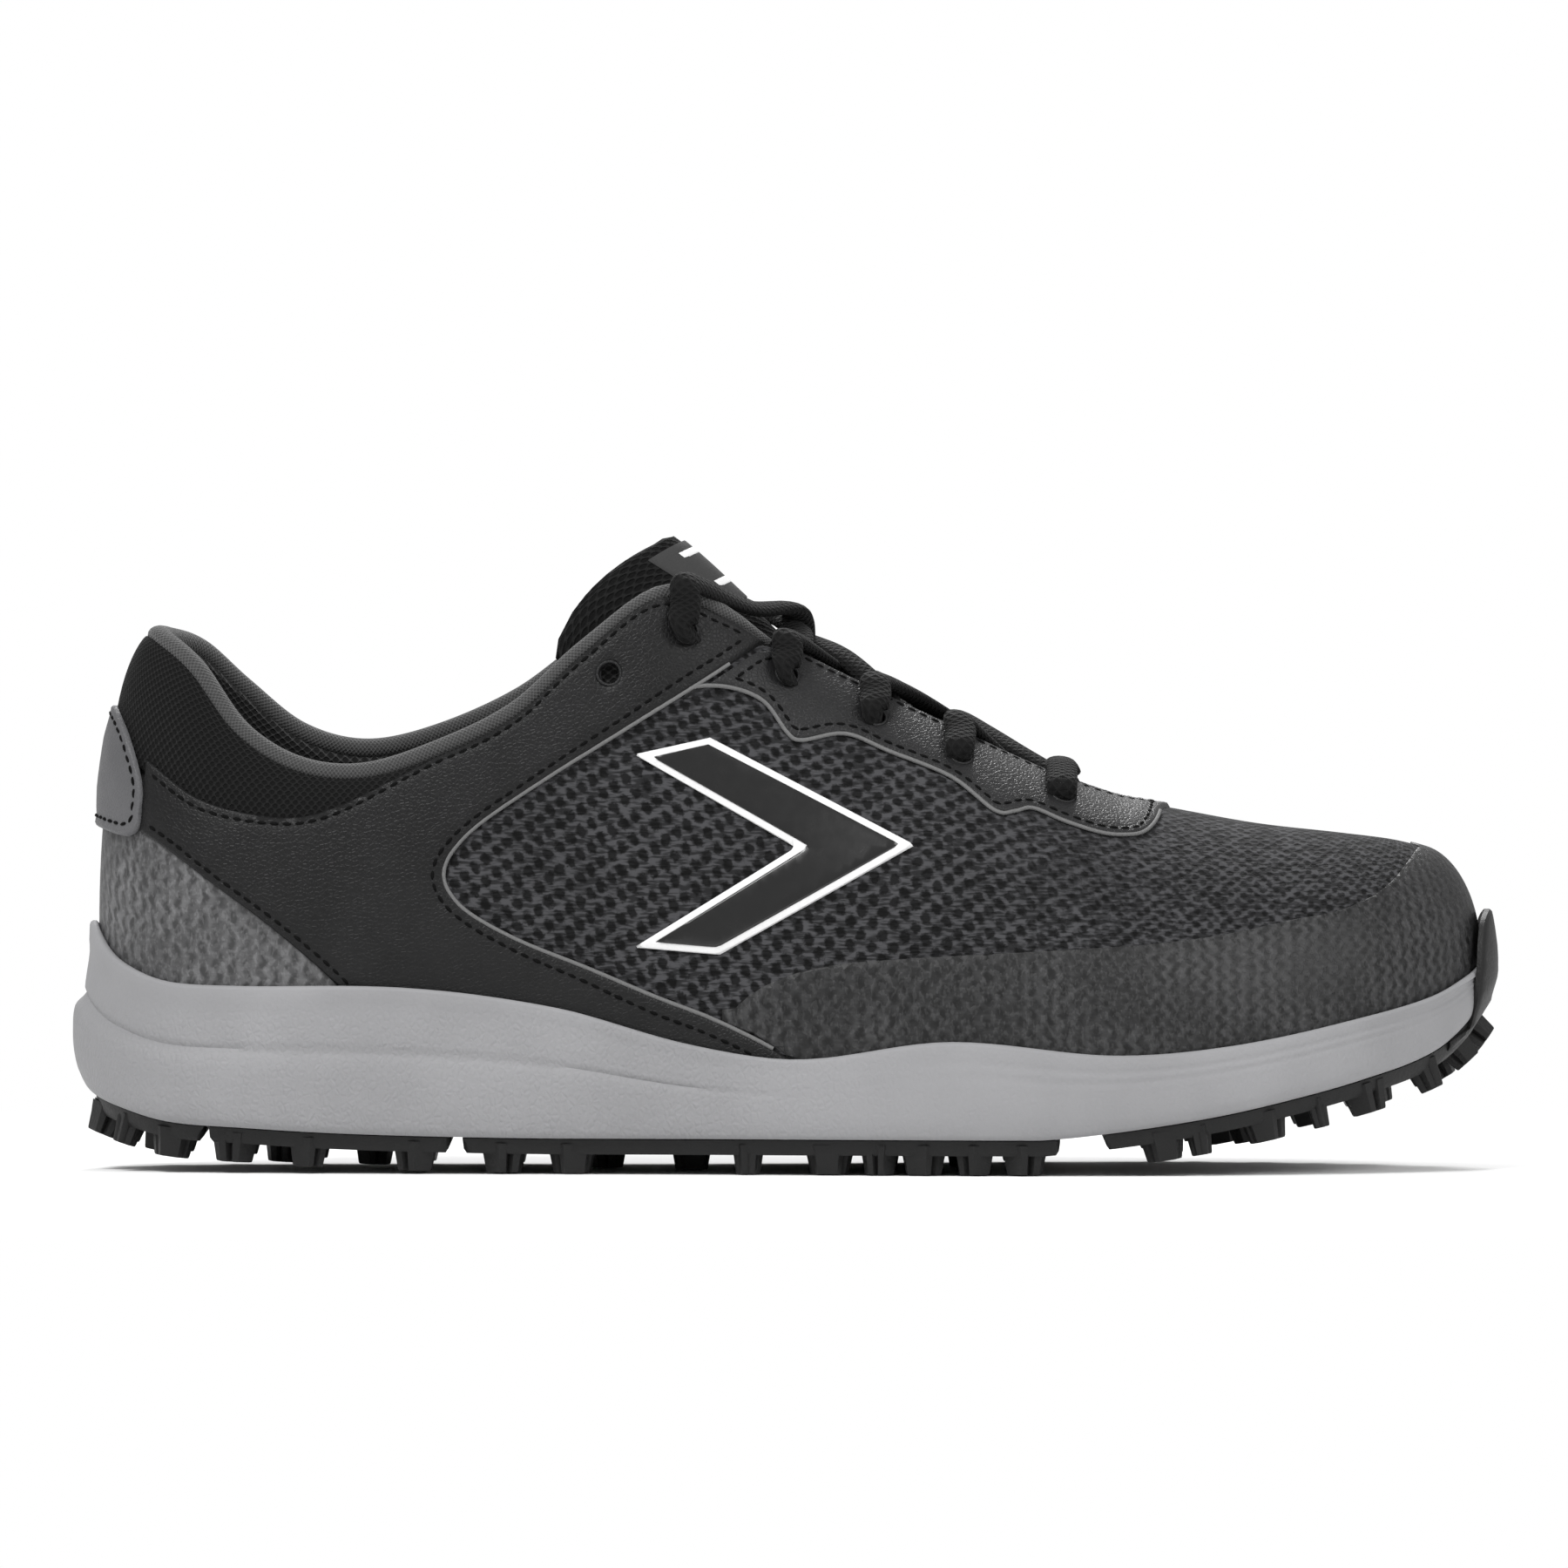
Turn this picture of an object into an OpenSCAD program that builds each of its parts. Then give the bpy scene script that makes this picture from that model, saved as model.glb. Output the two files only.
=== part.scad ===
// Spikeless golf shoe, right foot, with a flexing forefoot and a hinged tongue.
// +X points to the toe, +Y to the inner (medial) side, +Z up. The origin is on the ground, under the middle.

/* [Size] */
// Length from the back of the midsole to the front of the toe bumper
shoe_length = 302; // [280:1:325]
// Width of the last against a standard fit
width_fit = 1; // [0.95:0.01:1.06]

/* [Sole] */
// Thickness of the rubber outsole plates
plate_t = 3.4; // [2.6:0.1:4.2]
// Height of the traction lugs under the plates
lug_h = 4; // [3:0.1:5]
// Width across one traction lug
lug_w = 9.6; // [7:0.1:11]
// How far the midsole wall stands out past the upper
wall_out = 4.4; // [3:0.1:6]
// Thickness of the removable sockliner
sockliner_t = 4.5; // [3:0.1:6]
// Thickness of the stitched insole board
board_t = 1.5; // [1:0.1:2]

/* [Upper] */
// Thickness of the knitted mesh
mesh_t = 1.2; // [0.9:0.1:1.5]
// Thickness of the leather overlays
leather_t = 1.2; // [0.8:0.1:1.6]
// Thickness of the welded film on the toe and heel
film_t = 0.5; // [0.4:0.1:0.8]
// Thickness of the lining cloth
lining_t = 1; // [0.8:0.1:1.3]
// Thickness of the foam in the collar
collar_pad = 3.6; // [2.5:0.1:4.5]

/* [Lacing] */
// Diameter of a punched eyelet
eyelet_d = 4.4; // [4:0.1:5]
// Diameter of the lace, pulled round
lace_d = 3; // [2.6:0.1:3.2]

/* [Hidden] */

k = shoe_length / 302;             // scale against the size the tables are written for
sole_h = plate_t + lug_h;          // ground to the flat part of the midsole
mid_x = 0.9;                       // middle of the last's bottom outline
half_x = 145.9;                    // half of its length
mid_y = 1.15;                      // shift that centres the width over the origin
step = 5;                          // angle between stations round the last
flex_x = 62.5;                     // flex line across the ball of the foot
flex_gap = 0.4;                    // slit between the two midsole halves
flex_lean = 10;                    // how far the flex line leans forward up the vamp, in degrees of station
seam = 0.8;                        // gap where two panels butt, in mm
skin_in = 0.3;                    // outer face of the knit below the surface of the last
glue = 0.3;                        // between the outsole and the midsole
lay_gap = 1.25;                    // inner face of what is laid on the knit, above that surface
panel_low = 1.8;                   // lower edge of the panels above the footbed floor
roll = 2.3;                        // radius of the collar's rolled edge
roll_in = 2.9;                     // how far the middle of the roll is inside the surface

// Bottom outline of the last: x, half width outside, half width inside, midsole edge height outside, inside.
last_rows = [
    [-145, 0, 0, 52, 52], [-139, 16.5, 16.5, 43.6, 43.6], [-130, 25, 25, 39.8, 39.8],
    [-115, 30.5, 30, 38.9, 38.9], [-80, 34.8, 32.5, 38.6, 38.8], [-48, 36.6, 31.2, 34.5, 37],
    [-19, 39.6, 31.2, 26.7, 33.5], [3, 43.5, 34, 23.8, 29.5], [34, 48.9, 40.8, 27.6, 28.2],
    [68, 51.2, 46.4, 24.8, 25], [92, 48.8, 45.8, 26.5, 26.5], [121, 38.2, 36.2, 32.4, 32.4],
    [136, 25, 24, 36.6, 36.6], [143, 14.5, 14, 40.5, 40.5], [146.8, 0, 0, 44.5, 44.5]];
// Top edge of the upper, from the collar along the throat to the ridge of the vamp, keyed by the
// last's x: x, half width outside, inside, height outside, inside, and how far the profile has turned.
top_rows = [
    [-145, -134, 0, 0, 114.5, 114.5, 75], [-140, -132.3, 8.5, 8.5, 113.5, 114.2, 72],
    [-130, -125, 16, 16, 107.5, 111.6, 66], [-118, -115.5, 21.5, 21.5, 95, 103.2, 62],
    [-105, -103.5, 25.5, 25, 87.6, 93.8, 60], [-90, -89.5, 28.2, 27, 86, 90.2, 58],
    [-74, -74, 30, 28.5, 90.5, 93.2, 56], [-58, -57, 30.5, 29, 99, 101, 56],
    [-44, -42, 29.5, 28.5, 112.5, 112.5, 58], [-31, -26, 26.5, 26, 123.6, 123.6, 62],
    [-18, -12, 21.5, 21.5, 118.6, 118.6, 68], [-4, 1, 16.5, 16.5, 110.2, 110.2, 72],
    [16, 20, 13.6, 13.6, 100.4, 100.4, 76], [36, 38, 12.4, 12.4, 91.6, 91.6, 78],
    [56, 56.5, 10.8, 10.8, 83, 83, 82], [69, 69.3, 8, 8, 78.3, 78.3, 86],
    [77, 77, 3.4, 3.4, 76.8, 76.8, 89], [80, 80, 0, 0, 76.4, 76.4, 90],
    [100, 98.8, 0, 0, 73, 73, 90], [120, 116, 0, 0, 71, 71, 90], [136, 127, 0, 0, 69.6, 69.6, 90],
    [146.8, 133, 0, 0, 68, 68, 90]];
// Lines of the plan and the side view, as x and value.
centre_rows = [[-145, 0], [0, 0], [60, 0.6], [110, 3], [146.8, 5]];
wall_rows = [[-145, 1.36], [-130, 1.22], [-100, 1.05], [0, 0.95], [60, 0.95], [110, 0.8],
    [135, 0.64], [146.8, 0.52]];
lip_rows = [[-145, 2.1], [-104, 2.1], [-92, 2.7], [8, 2.7], [24, 2.1], [146.8, 2]];
rocker_rows = [[-151, 14.5], [-147, 9.2], [-140, 5.9], [-130, 3.2], [-115, 2.1], [-95, 1], [-70, 0.3],
    [-49, 0], [-48, 0], [53, 0], [54, 0], [62.5, 0.8], [77, 2.7], [92, 5.2], [106, 8.3], [121, 12.3],
    [136, 17.6], [144, 24], [149, 32]];
floor_rows = [[-150, 29], [-100, 28], [-60, 26], [-20, 20.5], [20, 17.4], [60, 16.6], [90, 18.6],
    [120, 25.6], [136, 32.6], [148, 39]];
saddle_top = [[-147, 92], [-137, 88.3], [-123.6, 78.6], [-107.4, 74.7], [-97, 76], [-80, 84],
    [-63.6, 93], [-50, 102.5], [-40, 128], [0, 140]];
saddle_rear = [[-147, 76], [-134.8, 70.7], [-120, 60.1], [-106, 49.6], [-91.3, 36], [-80, 20], [0, 0]];
window_top = [[-71, 66], [-66, 72], [-48.7, 84], [-34, 93], [-18.2, 102.7], [-8, 110], [0, 116]];
window_low = [[-71, 62], [-66, 54.5], [-56, 48.8], [-41.4, 43], [-27, 37], [-16, 32.8], [-5, 27.6], [2, 20]];
eyestay_low = [[-22, 99], [-10, 101.8], [0.2, 92.4], [12.5, 92], [21.6, 88.3], [34.7, 83],
    [43.8, 76], [52, 76.3], [66, 71.2], [75, 70.8], [80, 72.8], [84, 75]];
toe_film_top = [[-16, 31], [-6.4, 38.5], [4.1, 42.8], [19, 44.9], [54.8, 47], [77.9, 48.5],
    [92.2, 50.3], [106.6, 53.2], [117.3, 55.3], [126.6, 60], [134, 68.2], [140, 75]];
heel_tab_top = [[-147.5, 103], [-143, 101], [-138.3, 92.5], [-134.6, 80], [-133, 74]];
heel_tab_low = [[-147.5, 73.5], [-138, 70.4], [-134, 74]];
foam_low = [[-147, 78], [-120, 70], [-105, 66], [-90, 62], [-60, 76], [-40, 96]];
counter_top = [[-147, 76], [-125, 68], [-105, 56], [-90, 46]];
// Eyelets from the spare one at the ankle down to the toe end of the throat, as x and height.
eyelets = [[-37, 104.9], [-20.7, 113.6], [0.3, 104.2], [18.7, 95.2], [36.6, 86.8], [58.1, 78.4]];
// Middle line of the tongue's outer face: x, height, half width, drop of the wings, thickness.
tongue_rows = [[-27, 134.2, 20, 25, 10], [-23, 133.2, 20, 24, 10], [-8, 119.8, 17.8, 15.2, 9],
    [10, 102.2, 16.4, 13.4, 7], [30, 91.4, 15.5, 12, 5.4], [50, 81, 12.5, 9, 4.4], [66, 73.6, 8, 5, 3.6],
    [76, 71, 4.5, 2, 3]];
tongue_cols = [-27, -21, -14, -8, -1, 6, 14, 22, 30, 40, 50, 58, 66, 71, 76];
// Front and back edges of the side emblem, a chevron that points forward, in the side view.
emblem_front = [[-16, 91.5], [27, 69], [-14, 46]];
emblem_back = [[-32, 88], [2, 68.5], [-32, 47.5]];
// Where the lace crosses over the tongue, from the ankle down, as x and height of the lower strand.
crossings = [[1.5, 114.8], [11, 105.6], [29, 95.2], [48, 85.4]];
// Traction lugs along the edges, as x, and inside the plates, as x and distance across.
edge_lugs = [-138.5, -129, -116, -95.9, -78, -59.3, -45, -8, 9.1, 28.8, 50, 78.8, 100.2, 121.5, 134.5];
inner_lugs = [[-143, -5.5], [-143, 5.5], [-132, 0], [-106, -9], [-106, 9], [-87, 0], [-60, -6], [-60, 14],
    [-38, 2], [-20, -14], [8, 2], [20, -16], [20, 18], [38, 2], [39, -26], [39, 24], [50, 12], [50, -12],
    [80, -14], [80, 14], [92, 0], [97, -22], [97, 24], [110, -8], [110, 14], [124, 4], [137, 5],
    [140.5, -3], [140.5, 12]];

function mix(a, b, u) = a + (b - a) * u;
function clamp(v, lo, hi) = max(lo, min(hi, v));
function segment(c, x, i = 0) = i >= len(c) - 2 || x < c[i + 1][0] ? i : segment(c, x, i + 1);
// Slope of column j at row i. Flat ends give a curve that is smooth across the heel and the toe.
function slope(c, i, j, flat) = flat && (i == 0 || i == len(c) - 1) ? 0
    : let (a = max(i - 1, 0), b = min(i + 1, len(c) - 1)) (c[b][j] - c[a][j]) / (c[b][0] - c[a][0]);
// Smooth curve through the rows of a table, read at x, from column j.
function curve(c, x, j = 1, flat = false) =
    let (i = segment(c, x), h = c[i + 1][0] - c[i][0], u = clamp((x - c[i][0]) / h, 0, 1),
        a = slope(c, i, j, flat) * h, b = slope(c, i + 1, j, flat) * h)
    c[i][j] * (2 * u ^ 3 - 3 * u ^ 2 + 1) + a * (u ^ 3 - 2 * u ^ 2 + u)
    + c[i + 1][j] * (3 * u ^ 2 - 2 * u ^ 3) + b * (u ^ 3 - u ^ 2);

// A station is an angle: 0 at the heel, 180 at the toe. Stations crowd where the outline turns.
function station(x) = acos(clamp((mid_x - x) / half_x, -1, 1));
function rekey(rows) = [for (r = rows) concat([station(r[0])], [for (j = [1:len(r) - 1]) r[j]])];
last = rekey(last_rows);
top_edge = rekey(top_rows);
centre = rekey(centre_rows);
wall = rekey(wall_rows);
lip = rekey(lip_rows);
flex_q = station(flex_x);

// A place on the upper is [q, t]: q is 0 at the heel, rises to 180 at the toe along the outside and
// on to 360 along the inside (or falls below 0 from the heel), and t goes from the sole to the top.
function half(q) = q < 0 ? -q : q > 180 ? 360 - q : q;
function side(q) = q < 0 || q > 180 ? 1 : -1;
function foot(q) = let (f = half(q), s = side(q), j = s > 0 ? 2 : 1)
    [mid_x - half_x * cos(f), curve(centre, f, 1, true) + s * width_fit * max(0, curve(last, f, j)),
        curve(last, f, j + 2, true)];
function top(q) = let (f = half(q), s = side(q), j = s > 0 ? 3 : 2)
    [curve(top_edge, f, 1, true), curve(centre, f, 1, true) + s * max(0, curve(top_edge, f, j)),
        curve(top_edge, f, j + 2, true)];
function turn(q) = min(90, curve(top_edge, half(q), 6, true));

// Point of the upper's surface at [q, t], moved out by off. Each profile is a stretch of an ellipse.
function skin(q, t, off = 0) =
    let (p = foot(q), e = top(q), al = turn(q), th = al * t,
        flat = [e.x - p.x, e.y - p.y], reach = max(norm(flat), 0.01), dir = -flat / reach,
        nr = cos(th) * (1 - cos(al)) / reach, nz = sin(th) * sin(al) / (e.z - p.z), m = norm([nr, nz]),
        h = (1 - cos(th)) / (1 - cos(al)))
    [p.x + flat.x * h + dir.x * nr / m * off, p.y + flat.y * h + dir.y * nr / m * off,
        mix(p.z, e.z, sin(th) / sin(al)) + nz / m * off];
function away(q, t) = skin(q, t, 1) - skin(q, t, 0);
function upward(q, t) = let (d = skin(q, t + 0.01) - skin(q, t - 0.01)) d / norm(d);
function arc_len(q) = norm(top(q) - foot(q)) * 1.08;
// Height parameter t at height z, and where the profile at q meets a side-view line raised by dz.
function at_height(q, z) = let (p = foot(q), e = top(q), al = turn(q))
    asin(clamp((z - p.z) / (e.z - p.z), -0.9, 1) * sin(al)) / al;
function meets(q, line, dz = 0, t = 0.4, n = 5) = n == 0 ? t
    : meets(q, line, dz, at_height(q, curve(line, skin(q, t).x) + dz), n - 1);
// Place of the point that shows at x and z in the side view, on side s.
function spot(x, z, s, f = undef, n = 7) =
    let (g = is_undef(f) ? station(x) : f, q = s > 0 ? -g : g, t = at_height(q, z))
    n == 0 ? [q, t] : spot(x, z, s, g + (x - skin(q, t).x) / (half_x * sin(g)) * 57.3, n - 1);
function floor_z(x) = curve(floor_rows, x);
function ground_z(x) = curve(rocker_rows, x);
// Lowest t of the panels, just above the insole board, and the highest t under the rolled collar.
function low_t(q) = at_height(q, floor_z(foot(q).x) + panel_low);
function collar_t(q, less = 1.1) = 1 - (half(q) > station(-9) ? 0.3 : 2 * roll + less) / arc_len(q);
// The upper's flex line leans forward. This shifts a place by its share of the lean.
function leaned(q, t) = let (f = half(q), w = f <= flex_q ? clamp((f - 70) / (flex_q - 70), 0, 1)
    : (180 - f) / (180 - flex_q)) q + (q < 0 || q > 180 ? -1 : 1) * flex_lean * w * clamp(t, 0, 1);

function span(a, b, n) = [for (i = [0:n]) mix(a, b, i / n)];
function steps(a, b) = span(a, b, max(1, ceil(abs(b - a) / step)));
// Grid of places between a low and a high t for every station, and the same grid on the surface.
function field(qs, low, high, rows, lean = false) = [for (i = [0:len(qs) - 1]) [for (j = [0:rows])
    let (t = mix(low[i], high[i], j / rows)) [lean ? leaned(qs[i], t) : qs[i], t]]];
function lay(cells, off) = [for (c = cells) [for (p = c) skin(p[0], p[1], off)]];
// How deep the lining lies: over the heel counter, over the collar's foam, or straight on the knit.
function ramp(v, a, b) = let (u = clamp((v - a) / (b - a), 0, 1)) u * u * (3 - 2 * u);
function depth(q, t) = let (p = skin(q, t), tf = meets(q, foam_low))
    1.6 + 1.5 * (1 - ramp(p.x, -92, -72))
    + (collar_pad - 1.2 * (1 - ramp(p.x, -92, -72))) * ramp(t, tf - 0.04, tf + 0.16) * (1 - ramp(p.x, -56, -42));

// Closed solid between an outer and an inner sheet of points. cut = [i0, i1, j0, j1] leaves those cells
// out. A top edge that meets its own mirror image, as on the ridge of the vamp, is left without a wall.
module slab(outer, inner, cut = [0, 0, 0, 0]) {
    n = len(outer) - 1;
    m = len(outer[0]) - 1;
    count = (n + 1) * (m + 1);
    points = concat([for (c = outer) each c], [for (c = inner) each c]);
    function id(i, j, under = 0) = under * count + i * (m + 1) + j;
    function quad(a, b, c, d) = [[a, b, c], [a, c, d]];
    function full(i, j) = i >= 0 && i < n && j >= 0 && j < m
        && !(i >= cut[0] && i < cut[1] && j >= cut[2] && j < cut[3]);
    function mirrored(i) = norm(outer[i][m] - outer[n - i][m]) < 0.01;
    function shut(i) = mirrored(i) && mirrored(i + 1);
    faces = [for (i = [0:n - 1], j = [0:m - 1]) if (full(i, j)) each concat(
        quad(id(i, j), id(i, j + 1), id(i + 1, j + 1), id(i + 1, j)),
        quad(id(i, j, 1), id(i + 1, j, 1), id(i + 1, j + 1, 1), id(i, j + 1, 1)),
        full(i, j - 1) ? [] : quad(id(i, j), id(i + 1, j), id(i + 1, j, 1), id(i, j, 1)),
        full(i, j + 1) || (j == m - 1 && shut(i)) ? []
            : quad(id(i + 1, j + 1), id(i, j + 1), id(i, j + 1, 1), id(i + 1, j + 1, 1)),
        full(i - 1, j) ? [] : quad(id(i, j + 1), id(i, j), id(i, j, 1), id(i, j + 1, 1)),
        full(i + 1, j) ? [] : quad(id(i + 1, j), id(i + 1, j + 1), id(i + 1, j + 1, 1), id(i + 1, j, 1)))];
    polyhedron(points, faces, convexity = 8);
}
module layer(cells, off, thick) slab(lay(cells, off + thick), lay(cells, off));

// Closed solid from stacked loops that all start at the heel, with caps drawn straight across.
module cup(loops) {
    n = len(loops[0]);
    m = len(loops) - 1;
    function id(i, j) = j * n + i % n;
    function strip(i, j) = i == 0 ? [[id(0, j), id(1, j), id(n - 1, j)]]
        : i == n / 2 - 1 ? [[id(i, j), id(i + 1, j), id(n - i, j)]]
        : [[id(i, j), id(i + 1, j), id(n - i - 1, j)], [id(i, j), id(n - i - 1, j), id(n - i, j)]];
    faces = concat(
        [for (i = [0:n - 1], j = [0:m - 1])
            each [[id(i, j), id(i, j + 1), id(i + 1, j + 1)], [id(i, j), id(i + 1, j + 1), id(i + 1, j)]]],
        [for (i = [0:n / 2 - 1]) each strip(i, 0)],
        [for (i = [0:n / 2 - 1], f = strip(i, m)) [f[2], f[1], f[0]]]);
    polyhedron([for (l = loops) each l], faces, convexity = 8);
}

// Solid rod through a list of closed sections, capped at both ends.
module rod(sections) {
    n = len(sections[0]);
    m = len(sections) - 1;
    function id(i, j) = i * n + j % n;
    faces = concat(
        [for (i = [0:m - 1], j = [0:n - 1])
            each [[id(i, j), id(i, j + 1), id(i + 1, j + 1)], [id(i, j), id(i + 1, j + 1), id(i + 1, j)]]],
        [[for (j = [n - 1:-1:0]) id(0, j)], [for (j = [0:n - 1]) id(m, j)]]);
    polyhedron([for (s = sections) each s], faces, convexity = 10);
}

// Outline of the sole at station q, set out by off, at height z.
function plan(q, off, z) = let (p = skin(q, 0, off)) [p.x, p.y, z];
// Sheet across the shoe between two stations. The outline is the last's, or the lining's if inside.
function sheet(a, b, off, rows, heights, inside = false) = [for (f = steps(a, b))
    let (p = skin(f, inside ? low_t(f) : 0, off), r = skin(-f, inside ? low_t(-f) : 0, off))
    [for (j = [0:rows]) let (x = mix(p.x, r.x, j / rows)) [x, mix(p.y, r.y, j / rows), heights(x)]]];

// Lug that stands on the ground line, tilted with it, and reaches into the plate above.
module lug(x, y, width) {
    lean = atan((ground_z(x + 2) - ground_z(x - 2)) / 4);
    translate([x, y, ground_z(x)])
        rotate([0, -lean, 0])
        cylinder(h = lug_h + plate_t / 2, d1 = width * 0.78, d2 = width * 1.06, $fn = 6);
}

// Rubber plate from station a to b with the lugs that fall on it.
module plate(a, b) {
    edge = 1.6;
    x0 = foot(a).x;
    x1 = foot(b).x;
    slab(sheet(a, b, edge, 6, function (x) ground_z(x) + sole_h - glue),
        sheet(a, b, edge - 0.4, 6, function (x) ground_z(x) + lug_h));
    for (x = edge_lugs)
        if (x > x0 && x < x1)
            for (q = [station(x), -station(x)])
                lug(x, foot(q).y - side(q) * (lug_w * 0.5 - edge), lug_w);
    for (p = inner_lugs)
        if (p.x > x0 && p.x < x1)
            lug(p.x, p.y, lug_w * 0.86);
}

module outsole_heel() color("#2a2a2c") plate(5, station(-122));
module outsole_rearfoot() color("#2a2a2c") plate(station(-121), station(-70.7));
module outsole_midfoot() color("#2a2a2c") plate(station(-68), station(57.4));
module outsole_toe() color("#2a2a2c") {
    plate(station(66.8), 172);
    bumper();
}
// Rubber that turns up in front of the toe.
module bumper() {
    qs = span(165, 195, 8);
    function rise(q) = 12.6 * (1 - ((q - 180) / 15) ^ 4) - 4;
    function face(off, root) = [for (q = qs)
        let (p = foot(q), z0 = ground_z(p.x + 1) + lug_h + 0.4)
        [plan(q, root, z0), plan(q, off, mix(z0, p.z, 0.5)), plan(q, off, p.z + 1),
            skin(q, at_height(q, p.z + 1 + max(0.3, rise(q))), off - 0.3)]];
    slab(face(4.2, 2.9), face(2.8, 1.2));
}

// Midsole: a cup of foam whose wall rises round the upper.
function section(q, u, out, front) = let (w = wall_out * curve(wall, half(q)),
    p = skin(q, 0, w * mix(out, front, clamp(half(q) / 90, 0, 1))), z0 = ground_z(p.x) + sole_h)
    [p.x, p.y, mix(z0, foot(q).z, u)];
function lip_off(q) = curve(lip, half(q));
module midsole() {
    qs = [for (q = [0:step:359]) q];
    cup([[for (q = qs) section(q, 0, 0.62, 0.72)],
        [for (q = qs) section(q, 0.2, 1, 1)],
        [for (q = qs) section(q, 0.36, 0.98, 0.98)],
        [for (q = qs) section(q, 0.56, 0.56, 0.9)],
        [for (q = qs) section(q, 0.82, 0.4, 0.74)],
        [for (q = qs) plan(q, lip_off(q) + 0.75, foot(q).z + 0.3)],
        [for (q = qs) plan(q, lip_off(q), foot(q).z + 0.3)],
        [for (q = qs) plan(q, lip_off(q), floor_z(foot(q).x))]]);
}
module midsole_rear() color("#9b9da1") intersection() {
    midsole();
    translate([flex_x - flex_gap / 2 - 300, -100, -10])
        cube([300, 200, 100]);
}
module midsole_fore() color("#9b9da1") intersection() {
    midsole();
    translate([flex_x + flex_gap / 2, -100, -10])
        cube([300, 200, 100]);
}

module insole_board() color("#c9c4b4")
    slab(sheet(7, 173, 0.4, 4, function (x) floor_z(x) + 0.1 + board_t, true),
        sheet(7, 173, 0.4, 4, function (x) floor_z(x) + 0.1, true));
module sockliner() color("#4c4d50")
    slab(sheet(8, 172, -5.4, 4, function (x) floor_z(x) + 0.3 + board_t + sockliner_t, true),
        sheet(8, 172, -5.4, 4, function (x) floor_z(x) + 0.3 + board_t, true));

// Holes for the lace, square to the surface, on side s.
module punched(s, from, to) {
    for (e = eyelets) {
        p = spot(e.x, e.y, s);
        n = away(p[0], p[1]);
        translate(skin(p[0], p[1], from))
            rotate([0, acos(n.z), atan2(n.y, n.x)])
            cylinder(h = to - from, d = eyelet_d, $fn = 24);
    }
}

// The knit of one side, from the heel seam to the flex line.
module quarter_mesh(s) {
    base = steps(0.4, flex_q - 0.2);
    qs = s > 0 ? [for (i = [len(base) - 1:-1:0]) -base[i]] : base;
    highs = [for (q = qs) min(meets(q, saddle_top, -5 - seam), collar_t(q))];
    difference() {
        layer(field(qs, [for (q = qs) low_t(q)], highs, 8, true), -mesh_t, mesh_t - skin_in);
        punched(s, -6, 6);
    }
}
module quarter_mesh_lateral() color("#3b3c40") quarter_mesh(-1);
module quarter_mesh_medial() color("#3b3c40") quarter_mesh(1);
module vamp_mesh() color("#404145") {
    qs = steps(flex_q + 0.2, 360 - flex_q - 0.2);
    layer(field(qs, [for (q = qs) low_t(q)], [for (q = qs) 1], 9, true), -mesh_t, mesh_t - skin_in);
}

// Welded films over the toe and the heel.
module toe_film() color("#4f5053") {
    a = station(-12);
    qs = steps(a, 360 - a);
    lows = [for (q = qs) let (x = foot(q).x) x < 6 ? max(low_t(q), meets(q, window_low, 2 * seam)) : low_t(q)];
    highs = [for (i = [0:len(qs) - 1]) max(lows[i] + 0.02, min(0.97, meets(qs[i], toe_film_top)))];
    layer(field(qs, lows, highs, 6), lay_gap, film_t);
}
module heel_film() color("#4f5053") {
    qs = steps(-50.5, 50.5);
    lows = [for (q = qs) low_t(q)];
    highs = [for (q = qs) max(low_t(q) + 0.02, min(meets(q, saddle_rear, -seam), meets(q, heel_tab_low, -seam)))];
    layer(field(qs, lows, highs, 6), lay_gap, film_t);
}

// Leather saddle: one back part and two arms round a window.
module saddle(s) {
    base = concat(steps(20.4, 60), steps(60.5, 87));
    qs = s > 0 ? [for (i = [len(base) - 1:-1:0]) -base[i]] : base;
    first = len(steps(20.4, 60));
    n = len(base) - 1;
    cells = [for (q = qs) let (
        a = max(low_t(q), meets(q, saddle_rear)),
        b = max(a + 0.015, meets(q, window_low)),
        d = min(collar_t(q), meets(q, saddle_top)),
        c = min(d - 0.015, max(b + 0.01, meets(q, window_top))))
        concat([for (j = [0:4]) [q, mix(a, b, j / 4)]], [for (j = [0:4]) [q, mix(c, d, j / 4)]])];
    difference() {
        slab(lay(cells, lay_gap + leather_t), lay(cells, lay_gap),
            s > 0 ? [0, n - first, 4, 5] : [first, n, 4, 5]);
        punched(s, -6, 6);
    }
}
module saddle_lateral() color("#26272a") saddle(-1);
module saddle_medial() color("#26272a") saddle(1);

// Leather eyestay along the throat, scalloped below.
module eyestay(s) {
    base = steps(station(-22), station(84));
    qs = s > 0 ? [for (i = [len(base) - 1:-1:0]) -base[i]] : base;
    highs = [for (q = qs) min(1 - 0.3 / arc_len(q), meets(q, window_top, -3 * seam))];
    lows = [for (i = [0:len(qs) - 1]) min(highs[i] - 0.02, meets(qs[i], eyestay_low))];
    difference() {
        layer(field(qs, lows, highs, 5), lay_gap, leather_t);
        punched(s, -6, 6);
    }
}
module eyestay_lateral() color("#2c2d30") eyestay(-1);
module eyestay_medial() color("#2c2d30") eyestay(1);

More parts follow.
